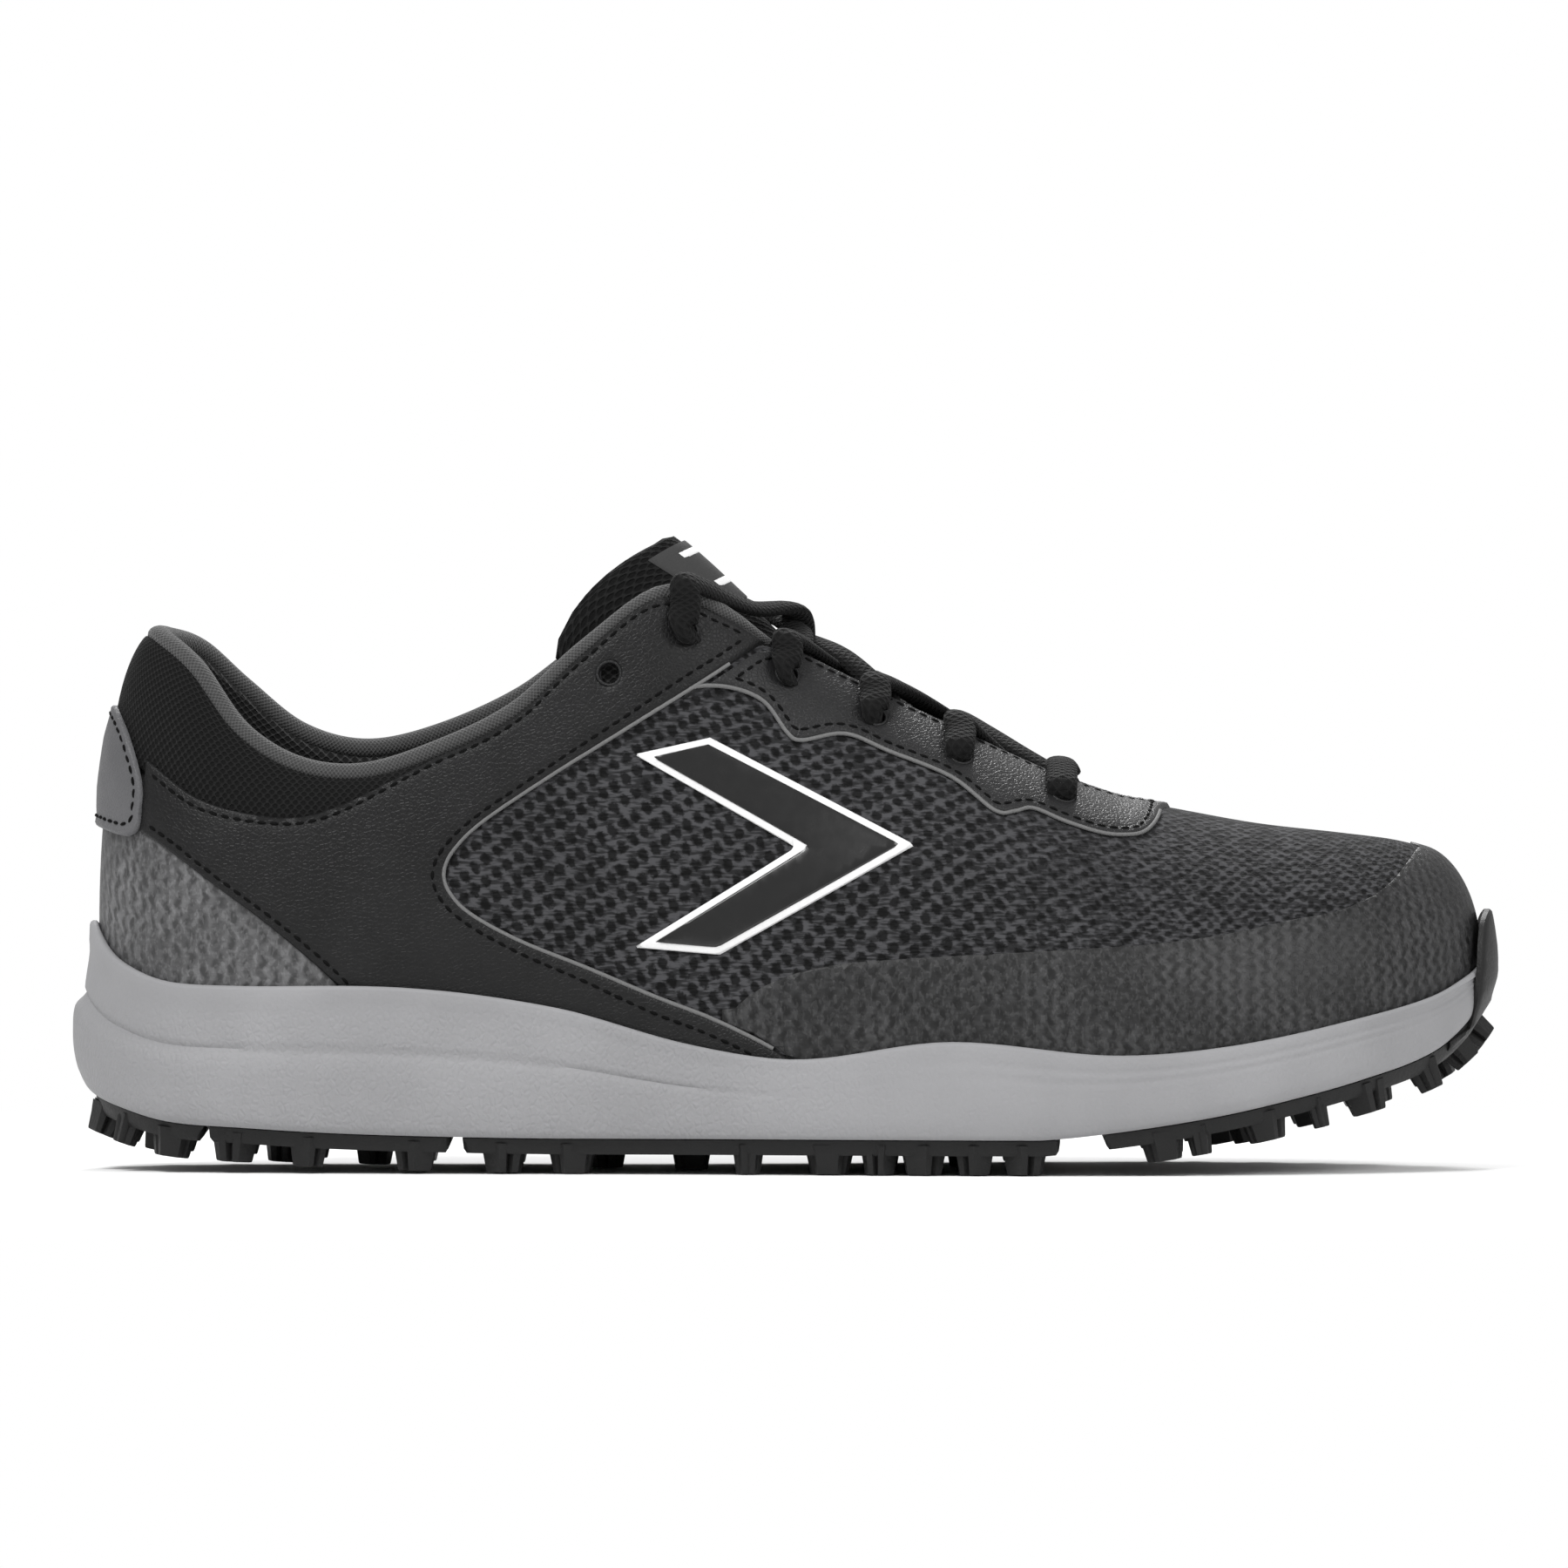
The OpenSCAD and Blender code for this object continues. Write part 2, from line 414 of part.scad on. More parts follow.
// Chevron on the side, laid on the knit.
function along(line, u) = let (i = u < 1 ? 0 : 1, v = u - i)
    [mix(line[i].x, line[i + 1].x, v), mix(line[i].y, line[i + 1].y, v)];
module emblem(s) {
    us = s > 0 ? span(2, 0, 14) : span(0, 2, 14);
    cells = [for (u = us) let (a = along(emblem_back, u), b = along(emblem_front, u))
        [for (j = [0:3]) let (p = mix(a, b, j / 3)) spot(p.x, p.y, s)]];
    slab(lay(cells, lay_gap + 0.8), lay(cells, lay_gap));
}
module emblem_lateral() color("#141416") emblem(-1);
module emblem_medial() color("#141416") emblem(1);

module collar_mesh() color("#1d1d1f") {
    qs = steps(-station(-58), station(-58));
    layer(field(qs, [for (q = qs) meets(q, saddle_top, -4.2)], [for (q = qs) collar_t(q, 1.7)], 6),
        -mesh_t, mesh_t - skin_in);
}
module collar_foam() color("#d8d3a8") {
    qs = steps(-station(-48), station(-48));
    cells = field(qs, [for (q = qs) meets(q, foam_low) + 0.03], [for (q = qs) collar_t(q, 3)], 6);
    slab(lay(cells, -mesh_t - 0.2),
        [for (c = cells) [for (p = c) skin(p[0], p[1], -max(mesh_t + 0.6, depth(p[0], p[1]) - 0.85))]]);
}
module collar_binding() color("#47484b") {
    a = station(-9);
    rod([for (q = steps(-a, a)) let (t = 1 - roll / arc_len(q), c = skin(q, t, -roll_in),
        n = away(q, t), u = upward(q, t))
        [for (j = [0:7]) c + roll * (1.12 * n * cos(45 * j) + u * sin(45 * j))]]);
}
module heel_tab() color("#6c6d70") {
    qs = span(-19.6, 19.6, 8);
    layer(field(qs, [for (q = qs) meets(q, heel_tab_low)], [for (q = qs) meets(q, heel_tab_top)], 5),
        lay_gap, leather_t);
}
module heel_counter() color("#b9b2a0") {
    qs = steps(-50, 50);
    layer(field(qs, [for (q = qs) low_t(q)], [for (q = qs) meets(q, counter_top)], 6), -mesh_t - 1.6, 1.4);
}
module toe_puff() color("#b9b2a0") {
    qs = steps(142, 218);
    layer(field(qs, [for (q = qs) low_t(q)], [for (q = qs) 1], 8), -mesh_t - 1.05, 0.7);
}
function lining_face(cells, extra) =
    [for (c = cells) [for (p = c) skin(p[0], p[1], -depth(p[0], p[1]) - extra)]];
module quarter_lining() color("#2b2c2e") {
    a = flex_q - 0.2;
    qs = steps(-a, a);
    cells = field(qs, [for (q = qs) low_t(q)], [for (q = qs) collar_t(q, 2.4)], 8, true);
    difference() {
        slab(lining_face(cells, 0), lining_face(cells, lining_t));
        punched(-1, -6, 6);
        punched(1, -6, 6);
    }
}
module vamp_lining() color("#2b2c2e") {
    qs = steps(flex_q + 0.2, 360 - flex_q - 0.2);
    layer(field(qs, [for (q = qs) low_t(q)], [for (q = qs) 1], 9, true), -mesh_t - 1.5 - lining_t, lining_t);
}

// How far the tongue sweeps back round the ankle, at x and share v of its half width.
function wing_back(x, v) = 19 * (1 - ramp(x, -27, 12)) * (1 - (1 - min(1, v ^ 2)) ^ 1.5);
// Point of the tongue at x, share v of its half width, off above the outer face.
function tongue_at(x, v, off) = let (h = curve(tongue_rows, x, 2),
    a = atan((curve(tongue_rows, x + 1, 1) - curve(tongue_rows, x - 1, 1)) / 2),
    e = off < 0 ? off * (1 - 0.55 * abs(v) ^ 2) : off)
    [x - e * sin(a) - wing_back(x, v), v * h + curve(centre_rows, max(-145, x)),
        curve(tongue_rows, x, 1) - curve(tongue_rows, x, 3) * abs(v) ^ 2.2 + e * cos(a)];
function tongue_grid(xs, v, rows, off) =
    [for (x = xs) [for (w = span(-v, v, rows)) tongue_at(x, w, off < -1 ? -curve(tongue_rows, x, 4) : off)]];
module tongue() color("#1f2022")
    slab(tongue_grid(tongue_cols, 1, 12, 0), tongue_grid(tongue_cols, 1, 12, -2));
module tongue_label() color("#303134")
    slab(tongue_grid(span(-22, -9, 4), 0.43, 6, 1.3), tongue_grid(span(-22, -9, 4), 0.43, 6, 0.5));
module lace_keeper() color("#a0a2a6")
    slab(tongue_grid([16, 18.5, 21], 0.36, 4, 1), tongue_grid([16, 18.5, 21], 0.36, 4, 0.3));

// Lace: from one tucked end through the eyelets in crossing turns to the other. Each turn goes in from
// outside, comes back under the throat's edge and crosses over to the next eyelet on the other side.
function hook(i, s, off) = let (p = spot(eyelets[i].x, eyelets[i].y, s)) skin(p[0], p[1], off);
function place(i, s) = spot(eyelets[i].x, eyelets[i].y, s);
function under_edge(i, s) = skin(place(i, s)[0], 0.99, -5);
function over_edge(i, s) = let (p = place(i, s)) [skin(p[0], 1, 5), skin(p[0], mix(p[1], 1, 0.45), 5)];
function crossing(i, s) = let (p = crossings[i - 2], over = s * (i % 2 == 0 ? 1 : -1) > 0)
    concat([[p.x, 0, p.y + (over ? lace_d + 1.8 : 0)]], i == 2 ? [[-8, -s * 12.5, 121.5]] : []);
function turn_points(i, s) = [hook(i, s, 4), hook(i, s, 0.8), hook(i, s, -2.5), hook(i, s, -5) - [0, s * 0.6, 0]];
function strand(s, i = 5) = i == 1 ? concat(turn_points(1, s), tail(s))
    : concat(turn_points(i, s), [under_edge(i, s), under_edge(i, s) + [0.5, -s * 3.4, 4.4]],
        crossing(i, s), over_edge(i - 1, -s), strand(-s, i - 1));
function tail(s) = [hook(1, s, -6) + [-2, 0, -7], hook(1, s, -7) + [-5, 0, -16], hook(1, s, -7) + [-9, s, -26]];
function reversed(l) = [for (i = [len(l) - 1:-1:0]) l[i]];
module lace() color("#151516") {
    bar = [eyelets[5].x + 1, 0.5, 84];
    path = concat(reversed(strand(-1)), reversed(over_edge(5, -1)), [bar], over_edge(5, 1), strand(1));
    n = len(path) - 1;
    rod([for (i = [0:n]) let (d = path[min(n, i + 1)] - path[max(0, i - 1)], u = d / norm(d),
        a = cross(u, [1, 0, 0]) / norm(cross(u, [1, 0, 0])), b = cross(a, u))
        [for (j = [0:7]) path[i] + lace_d / 2 * (a * cos(45 * j) + b * sin(45 * j))]]);
}

// Tip of the lace, in line with its tucked end.
module aglet(s) {
    t = tail(s);
    u = (t[2] - t[1]) / norm(t[2] - t[1]);
    translate(t[2])
        rotate([0, acos(u.z), atan2(u.y, u.x)])
        cylinder(h = 12, d = lace_d - 0.4, $fn = 16);
}
module aglet_lateral() color("#101011") aglet(-1);
module aglet_medial() color("#101011") aglet(1);

// Graded to the asked length, with the middle of the width over the origin.
module placed() translate([0, mid_y, 0]) scale(k) children();

placed() midsole_rear();
placed() midsole_fore();
placed() outsole_heel();
placed() outsole_rearfoot();
placed() outsole_midfoot();
placed() outsole_toe();
placed() insole_board();
placed() sockliner();
placed() quarter_mesh_lateral();
placed() quarter_mesh_medial();
placed() vamp_mesh();
placed() toe_film();
placed() heel_film();
placed() saddle_lateral();
placed() saddle_medial();
placed() eyestay_lateral();
placed() eyestay_medial();
placed() emblem_lateral();
placed() emblem_medial();
placed() collar_mesh();
placed() collar_foam();
placed() collar_binding();
placed() heel_tab();
placed() heel_counter();
placed() toe_puff();
placed() quarter_lining();
placed() vamp_lining();
placed() tongue();
placed() tongue_label();
placed() lace_keeper();
placed() lace();
placed() aglet_lateral();
placed() aglet_medial();
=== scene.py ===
import math
from functools import partialmethod

import bmesh
import bpy
import numpy as np
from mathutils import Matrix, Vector
from mathutils.geometry import delaunay_2d_cdt


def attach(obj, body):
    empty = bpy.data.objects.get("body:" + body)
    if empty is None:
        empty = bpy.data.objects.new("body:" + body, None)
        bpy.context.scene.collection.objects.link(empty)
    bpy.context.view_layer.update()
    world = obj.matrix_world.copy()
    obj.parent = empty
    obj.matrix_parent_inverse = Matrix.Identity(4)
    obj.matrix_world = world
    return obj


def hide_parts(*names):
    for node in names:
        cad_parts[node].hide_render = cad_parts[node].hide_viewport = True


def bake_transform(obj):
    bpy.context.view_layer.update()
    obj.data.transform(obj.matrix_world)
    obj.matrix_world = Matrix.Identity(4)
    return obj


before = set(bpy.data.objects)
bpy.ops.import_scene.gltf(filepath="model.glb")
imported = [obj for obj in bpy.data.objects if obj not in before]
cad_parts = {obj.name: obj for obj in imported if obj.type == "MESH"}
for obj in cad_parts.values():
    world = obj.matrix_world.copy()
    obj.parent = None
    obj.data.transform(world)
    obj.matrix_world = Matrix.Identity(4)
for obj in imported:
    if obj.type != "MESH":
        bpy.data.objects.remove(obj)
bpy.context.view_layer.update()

MM = 0.001
MID_X, HALF_X, MID_Y = 0.9, 145.9, 1.15      # the last's bottom outline, as in the CAD
PLATE_T, LUG_H, SOLE_H = 3.4, 4.0, 7.4
WALL_OUT, BOARD_T, SOCK_T = 4.4, 1.5, 4.5
COLLAR_PAD, ROLL = 3.6, 2.3
COLLAR_X, THROAT_X = -9, 80                  # front ends of the collar's roll and of the throat
HEEL_SEAM = 0.4                              # station where the two halves of a sheet meet at the heel
TONGUE_HALF = 18.0                           # flat half width of the tongue

# Tables of the last and of the lines on it, in mm, the same as the CAD's.
LAST = [
    [-145, 0, 0, 52, 52], [-139, 16.5, 16.5, 43.6, 43.6], [-130, 25, 25, 39.8, 39.8],
    [-115, 30.5, 30, 38.9, 38.9], [-80, 34.8, 32.5, 38.6, 38.8], [-48, 36.6, 31.2, 34.5, 37],
    [-19, 39.6, 31.2, 26.7, 33.5], [3, 43.5, 34, 23.8, 29.5], [34, 48.9, 40.8, 27.6, 28.2],
    [68, 51.2, 46.4, 24.8, 25], [92, 48.8, 45.8, 26.5, 26.5], [121, 38.2, 36.2, 32.4, 32.4],
    [136, 25, 24, 36.6, 36.6], [143, 14.5, 14, 40.5, 40.5], [146.8, 0, 0, 44.5, 44.5]]
TOP = [
    [-145, -134, 0, 0, 114.5, 114.5, 75], [-140, -132.3, 8.5, 8.5, 113.5, 114.2, 72],
    [-130, -125, 16, 16, 107.5, 111.6, 66], [-118, -115.5, 21.5, 21.5, 95, 103.2, 62],
    [-105, -103.5, 25.5, 25, 87.6, 93.8, 60], [-90, -89.5, 28.2, 27, 86, 90.2, 58],
    [-74, -74, 30, 28.5, 90.5, 93.2, 56], [-58, -57, 30.5, 29, 99, 101, 56],
    [-44, -42, 29.5, 28.5, 112.5, 112.5, 58], [-31, -26, 26.5, 26, 123.6, 123.6, 62],
    [-18, -12, 21.5, 21.5, 118.6, 118.6, 68], [-4, 1, 16.5, 16.5, 110.2, 110.2, 72],
    [16, 20, 13.6, 13.6, 100.4, 100.4, 76], [36, 38, 12.4, 12.4, 91.6, 91.6, 78],
    [56, 56.5, 10.8, 10.8, 83, 83, 82], [69, 69.3, 8, 8, 78.3, 78.3, 86],
    [77, 77, 3.4, 3.4, 76.8, 76.8, 89], [80, 80, 0, 0, 76.4, 76.4, 90],
    [100, 98.8, 0, 0, 73, 73, 90], [120, 116, 0, 0, 71, 71, 90], [136, 127, 0, 0, 69.6, 69.6, 90],
    [146.8, 133, 0, 0, 68, 68, 90]]
CENTRE = [[-145, 0], [0, 0], [60, 0.6], [110, 3], [146.8, 5]]
WALL = [[-145, 1.36], [-130, 1.22], [-100, 1.05], [0, 0.95], [60, 0.95], [110, 0.8],
        [135, 0.64], [146.8, 0.52]]
ROCKER = [[-151, 14.5], [-147, 9.2], [-140, 5.9], [-130, 3.2], [-115, 2.1], [-95, 1], [-70, 0.3],
          [-49, 0], [-48, 0], [53, 0], [54, 0], [62.5, 0.8], [77, 2.7], [92, 5.2], [106, 8.3],
          [121, 12.3], [136, 17.6], [144, 24], [149, 32]]
FLOOR = [[-150, 29], [-100, 28], [-60, 26], [-20, 20.5], [20, 17.4], [60, 16.6], [90, 18.6],
         [120, 25.6], [136, 32.6], [148, 39]]
SADDLE_TOP = [[-147, 92], [-137, 88.3], [-123.6, 78.6], [-107.4, 74.7], [-97, 76], [-80, 84],
              [-63.6, 93], [-50, 102.5], [-40, 128], [0, 140]]
SADDLE_REAR = [[-147, 76], [-134.8, 70.7], [-120, 60.1], [-106, 49.6], [-91.3, 36], [-80, 20], [0, 0]]
WINDOW = [[4, 21.2], [0.5, 24.2], [-5, 27.6], [-16, 32.8], [-27, 37], [-41.4, 43], [-56, 48.8],
          [-66.5, 54.5], [-71, 59.2], [-72, 63.6], [-69.6, 68.4], [-63.3, 74.3], [-48.7, 84], [-34, 93],
          [-18.2, 102.7], [-6, 110.5]]
STAY_LOW = [[-22, 99], [-19.6, 101.9], [-12, 101.9], [-4.7, 98.9], [0.3, 92.3], [3.4, 90.7],
            [12.4, 92], [21.6, 88.3], [34.7, 82.9], [43.8, 75.9], [48, 75.7], [51.9, 76.3], [58.7, 73.5],
            [66.3, 71.1], [71.4, 70.6], [75.1, 71.1], [77.7, 73.2], [79.4, 76.4]]
TOE_FILM = [[-16, 31], [-12, 33.7], [-6.4, 38.5], [4.1, 42.8], [19, 44.9], [54.8, 47], [77.9, 48.5],
            [92.2, 50.3], [106.6, 53.2], [117.3, 55.3], [126.6, 60], [134, 68.2], [140, 75]]
TAB_TOP = [[-147.5, 103], [-143, 101], [-138.3, 92.5], [-134.6, 80], [-133, 74]]
TAB_LOW = [[-147.5, 73.5], [-138, 70.4], [-134, 74]]
FOAM_LOW = [[-147, 78], [-120, 70], [-105, 66], [-90, 62], [-60, 76], [-40, 96]]
EYELETS = [[-37, 104.9], [-20.7, 113.6], [0.3, 104.2], [18.7, 95.2], [36.6, 86.8], [58.1, 78.4]]
TONGUE = [[-27, 134.2, 20, 25, 10], [-23, 133.2, 20, 24, 10], [-8, 119.8, 17.8, 15.2, 9],
          [10, 102.2, 16.4, 13.4, 7], [30, 91.4, 15.5, 12, 5.4], [50, 81, 13, 9, 4.4],
          [66, 74, 10, 6, 3.6], [76, 71.4, 6, 3, 3]]
CROSSINGS = [[1.5, 114.8], [11, 105.6], [29, 95.2], [48, 85.4]]
EDGE_LUGS = [[-138.5, 6], [-129, 9], [-116, 9.6], [-100.5, 8.5], [-78, 9.6], [-59.3, 9.4], [-45, 9.6],
             [-8, 6.2], [9.1, 9.8], [19.5, 7.6], [28.8, 9.8], [39.5, 8.6], [50, 9.4],
             [78.8, 9], [86.5, 5.2], [100.2, 9.2], [111.5, 4.2], [121.5, 9.4], [134.5, 7]]
INNER_LUGS = [[-143, -5.5], [-143, 5.5], [-132, 0], [-106, -9], [-106, 9], [-87, 0], [-60, -6], [-60, 14],
              [-38, 2], [-20, -14], [8, 2], [20, -16], [20, 18], [38, 2], [39, -26], [39, 24],
              [50, 12], [50, -12], [80, -14], [80, 14], [92, 0], [97, -22], [97, 24], [110, -8],
              [110, 14], [124, 4], [137, 5], [141.5, -3], [141.5, 12], [144.8, 4.8]]


# ---------------------------------------------------------------- curves and the surface of the last
def curve(rows, x, j=1, flat=False):
    """Smooth curve through the rows of a table, read at x, from column j."""
    rows, x = np.asarray(rows, float), np.asarray(x, float)
    xs, ys = rows[:, 0], rows[:, j]
    m = np.empty(len(xs))
    m[1:-1] = (ys[2:] - ys[:-2]) / (xs[2:] - xs[:-2])
    m[0] = 0 if flat else (ys[1] - ys[0]) / (xs[1] - xs[0])
    m[-1] = 0 if flat else (ys[-1] - ys[-2]) / (xs[-1] - xs[-2])
    i = np.clip(np.searchsorted(xs, x, side="right") - 1, 0, len(xs) - 2)
    h = xs[i + 1] - xs[i]
    u = np.clip((x - xs[i]) / h, 0, 1)
    return (ys[i] * (2 * u**3 - 3 * u**2 + 1) + m[i] * h * (u**3 - 2 * u**2 + u)
            + ys[i + 1] * (3 * u**2 - 2 * u**3) + m[i + 1] * h * (u**3 - u**2))


def station(x):
    """Degrees round the last, from 0 at the heel to 180 at the toe, of the place x on its bottom outline."""
    return np.degrees(np.arccos(np.clip((MID_X - np.asarray(x, float)) / HALF_X, -1, 1)))


def rekey(rows):
    """A table with stations in place of x."""
    rows = np.array(rows, float)
    rows[:, 0] = station(rows[:, 0])
    return rows


last, top_edge, centre, wall = rekey(LAST), rekey(TOP), rekey(CENTRE), rekey(WALL)


def half(q):
    """Station of q on either side. q is negative, or over 180, on the medial side."""
    q = np.asarray(q, float)
    return np.where(q < 0, -q, np.where(q > 180, 360 - q, q))


def side(q):
    q = np.asarray(q, float)
    return np.where((q < 0) | (q > 180), 1.0, -1.0)


def foot(q):
    """Bottom end of the profile at q."""
    f, s = half(q), side(q)
    w = np.where(s > 0, curve(last, f, 2), curve(last, f, 1))
    z = np.where(s > 0, curve(last, f, 4, True), curve(last, f, 3, True))
    return np.stack([MID_X - HALF_X * np.cos(np.radians(f)),
                     curve(centre, f, 1, True) + s * np.maximum(0, w), z], -1)


def top(q):
    """Top end of the profile at q."""
    f, s = half(q), side(q)
    w = np.where(s > 0, curve(top_edge, f, 3), curve(top_edge, f, 2))
    z = np.where(s > 0, curve(top_edge, f, 5, True), curve(top_edge, f, 4, True))
    return np.stack([curve(top_edge, f, 1, True), curve(centre, f, 1, True) + s * np.maximum(0, w), z], -1)


def turn(q):
    """Angle by which the profile at q turns in."""
    return np.radians(np.minimum(90, curve(top_edge, half(q), 6, True)))


def skin(q, t, off=0.0):
    """Point of the upper's surface at [q, t], moved out by off. Each profile is a stretch of an ellipse."""
    q, t, off = np.broadcast_arrays(np.asarray(q, float), np.asarray(t, float), np.asarray(off, float))
    p, e, al = foot(q), top(q), turn(q)
    th = al * t
    flat = (e - p)[..., :2]
    reach = np.maximum(np.linalg.norm(flat, axis=-1), 0.01)
    d = -flat / reach[..., None]
    rise = e[..., 2] - p[..., 2]
    nr, nz = np.cos(th) * (1 - np.cos(al)) / reach, np.sin(th) * np.sin(al) / rise
    m = np.sqrt(nr * nr + nz * nz)
    h = (1 - np.cos(th)) / (1 - np.cos(al))
    xy = p[..., :2] + flat * h[..., None] + d * (nr / m * off)[..., None]
    z = p[..., 2] + rise * np.sin(th) / np.sin(al) + nz / m * off
    return np.concatenate([xy, z[..., None]], -1)


def away(q, t):
    """Outward direction of the surface."""
    return skin(q, t, 1.0) - skin(q, t, 0.0)


def arc_len(q):
    return np.linalg.norm(top(q) - foot(q), axis=-1) * 1.08


def at_height(q, z):
    """Share of the profile at q that lies below height z."""
    p, e, al = foot(q)[..., 2], top(q)[..., 2], turn(q)
    return np.arcsin(np.clip(np.clip((z - p) / (e - p), -0.9, 1) * np.sin(al), -1, 1)) / al


def meets(q, line, dz=0.0):
    """Share of the profile at q where it meets a line of the side view, moved up by dz."""
    t = np.full(np.shape(q), 0.4)
    for _ in range(14):
        t = 0.35 * t + 0.65 * at_height(q, curve(line, skin(q, t)[..., 0]) + dz)
    return t


def spot(x, z, s):
    """Places [q, t] of the points that show at x and z in the side view, on side s."""
    x, z = np.asarray(x, float), np.asarray(z, float)
    g = station(x)
    for _ in range(24):
        q = -g if s > 0 else g
        t = at_height(q, z)
        g = g + 0.7 * np.degrees((x - skin(q, t)[..., 0]) / (HALF_X * np.sin(np.radians(np.clip(g, 4, 176)))))
        g = np.clip(g, 1, 179)
    q = -g if s > 0 else g
    return np.stack([q, at_height(q, z)], -1)


def floor_z(x):
    return curve(FLOOR, x)


def ground_z(x):
    return curve(ROCKER, x)


def low_t(q):
    """Lower edge of the sheets of the upper."""
    return at_height(q, floor_z(foot(q)[..., 0]) + 1.8)


def collar_t(q, less=1.1):
    """Upper edge of a sheet that ends below the collar's roll."""
    return 1 - np.where(half(q) > station(COLLAR_X), 0.3, 2 * ROLL + less) / arc_len(q)


def ramp(v, a, b):
    """Smooth rise from 0 at a to 1 at b."""
    u = np.clip((v - a) / (b - a), 0, 1)
    return u * u * (3 - 2 * u)


def depth(q, t):
    """Depth of the lining below the surface: more over the heel counter and the collar's foam."""
    x, tf = skin(q, t)[..., 0], meets(q, FOAM_LOW)
    counter = 1 - ramp(x, -92, -72)
    padded = ramp(t, tf - 0.04, tf + 0.16) * (1 - ramp(x, -56, -42))
    return 1.6 + 1.5 * counter + (COLLAR_PAD - 1.2 * counter) * padded


def length_along(p):
    """Length of a line up to each of its points."""
    return np.concatenate([[0], np.cumsum(np.linalg.norm(np.diff(p, axis=0), axis=1))])


# Flat coordinates of the upper: U is the length round the last, V the share of the height, both near 1 mm.
_q = np.arange(-360, 720.01, 0.5)
_u = length_along(skin(_q % 360, np.full(len(_q), 0.3)))
_u -= np.interp(0, _q, _u)
_len_q = np.arange(0, 360.1, 2.0)
_len = np.array([length_along(skin(q, np.linspace(0, 1, 25)))[-1] for q in _len_q])
SV = 78.0


def flat_of(qt):
    qt = np.asarray(qt, float)
    return np.stack([np.interp(qt[..., 0], _q, _u), qt[..., 1] * SV], -1)


def qt_of(P):
    return np.interp(P[:, 0], _u, _q), P[:, 1] / SV


def on_skin(P, off):
    """Flat points laid on the surface, moved out by off."""
    q, t = qt_of(P)
    return skin(np.where(q < -180, q + 360, q), t, off)


def skin_uv(P):
    """Pattern coordinates of flat points, in mm on the surface."""
    q, t = qt_of(P)
    return np.stack([P[:, 0], t * np.interp(q % 360, _len_q, _len)], -1)


# ---------------------------------------------------------------- meshes
def smooth_line(points, n=8, closed=False):
    """Catmull-Rom curve through points."""
    p = np.asarray(points, float)
    if closed:
        p = np.concatenate([p[-1:], p, p[:2]])
    else:
        p = np.concatenate([2 * p[:1] - p[1:2], p, 2 * p[-1:] - p[-2:-1]])
    out = []
    for i in range(1, len(p) - 2):
        a, b, c, d = p[i - 1:i + 3]
        for u in np.arange(n) / n:
            out.append(0.5 * (2 * b + (c - a) * u + (2 * a - 5 * b + 4 * c - d) * u * u
                              + (3 * b - a - 3 * c + d) * u**3))
    if not closed:
        out.append(p[-2])
    return np.array(out)


def resample(p, step, closed=False):
    """Line with its points about step apart."""
    if closed:
        p = np.concatenate([p, p[:1]])
    s = length_along(p)
    n = max(2, int(round(s[-1] / step)))
    v = np.linspace(0, s[-1], n + 1)
    out = np.stack([np.interp(v, s, p[:, k]) for k in range(p.shape[1])], -1)
    return out[:-1] if closed else out


def inside(loop, P):
    """Whether each point lies in the loop."""
    hit = np.zeros(len(P), bool)
    for (a, b), (c, d) in zip(loop, np.roll(loop, -1, axis=0)):
        if b != d:
            hit ^= ((b > P[:, 1]) != (d > P[:, 1])) & (P[:, 0] < (c - a) * (P[:, 1] - b) / (d - b) + a)
    return hit


def near(P, Q):
    """Distance from each point of P to the nearest of Q."""
    if not len(Q):
        return np.full(len(P), 1e3)
    return np.concatenate([np.sqrt(((P[i:i + 1500, None] - Q[None])**2).sum(-1).min(1))
                           for i in range(0, len(P), 1500)]) if len(P) else np.zeros(0)


def make(name, verts, faces, uv, mat, sharp=50, weld=0.0):
    """Object from verts in mm. Edges stay sharp from an angle up, and verts within weld mm are joined."""
    me = bpy.data.meshes.new(name)
    me.from_pydata((np.asarray(verts, float) + [0, MID_Y, 0]) * MM, [], [list(map(int, f)) for f in faces])
    ob = bpy.data.objects.new(name, me)
    bpy.context.scene.collection.objects.link(ob)
    if uv is not None:
        layer = me.uv_layers.new(name="pattern")
        at = np.zeros(len(me.loops), np.int32)
        me.loops.foreach_get("vertex_index", at)
        layer.data.foreach_set("uv", (np.asarray(uv, float)[at] * 0.01).astype(np.float32).ravel())
    me.materials.append(mat)
    bm = bmesh.new()
    bm.from_mesh(me)
    if weld:
        bmesh.ops.remove_doubles(bm, verts=bm.verts, dist=weld * MM)
    bmesh.ops.recalc_face_normals(bm, faces=bm.faces)
    bm.to_mesh(me)
    bm.free()
    me.shade_smooth()
    me.set_sharp_from_angle(angle=math.radians(sharp))
    return ob


def merged(parts):
    """Verts, faces and pattern coordinates of several parts as one."""
    V, F, U, k = [], [], [], 0
    for v, f, u in parts:
        V.append(v)
        F += [[i + k for i in g] for g in f]
        U.append(u)
        k += len(v)
    return np.concatenate(V), F, None if U[0] is None else np.concatenate(U)


def ring_in(loop, w):
    """The loop moved w to its one side and to its other."""
    d = np.roll(loop, -1, axis=0) - np.roll(loop, 1, axis=0)
    d /= np.maximum(np.linalg.norm(d, axis=1, keepdims=True), 1e-9)
    n = np.stack([-d[:, 1], d[:, 0]], -1)
    return [loop + n * w, loop - n * w]


def used_only(F, *arrays):
    """Faces and arrays of points without the points that no face uses."""
    used = np.unique(F)
    back = np.full(len(arrays[0]), -1)
    back[used] = np.arange(len(used))
    return [back[F]] + [a[used] for a in arrays]


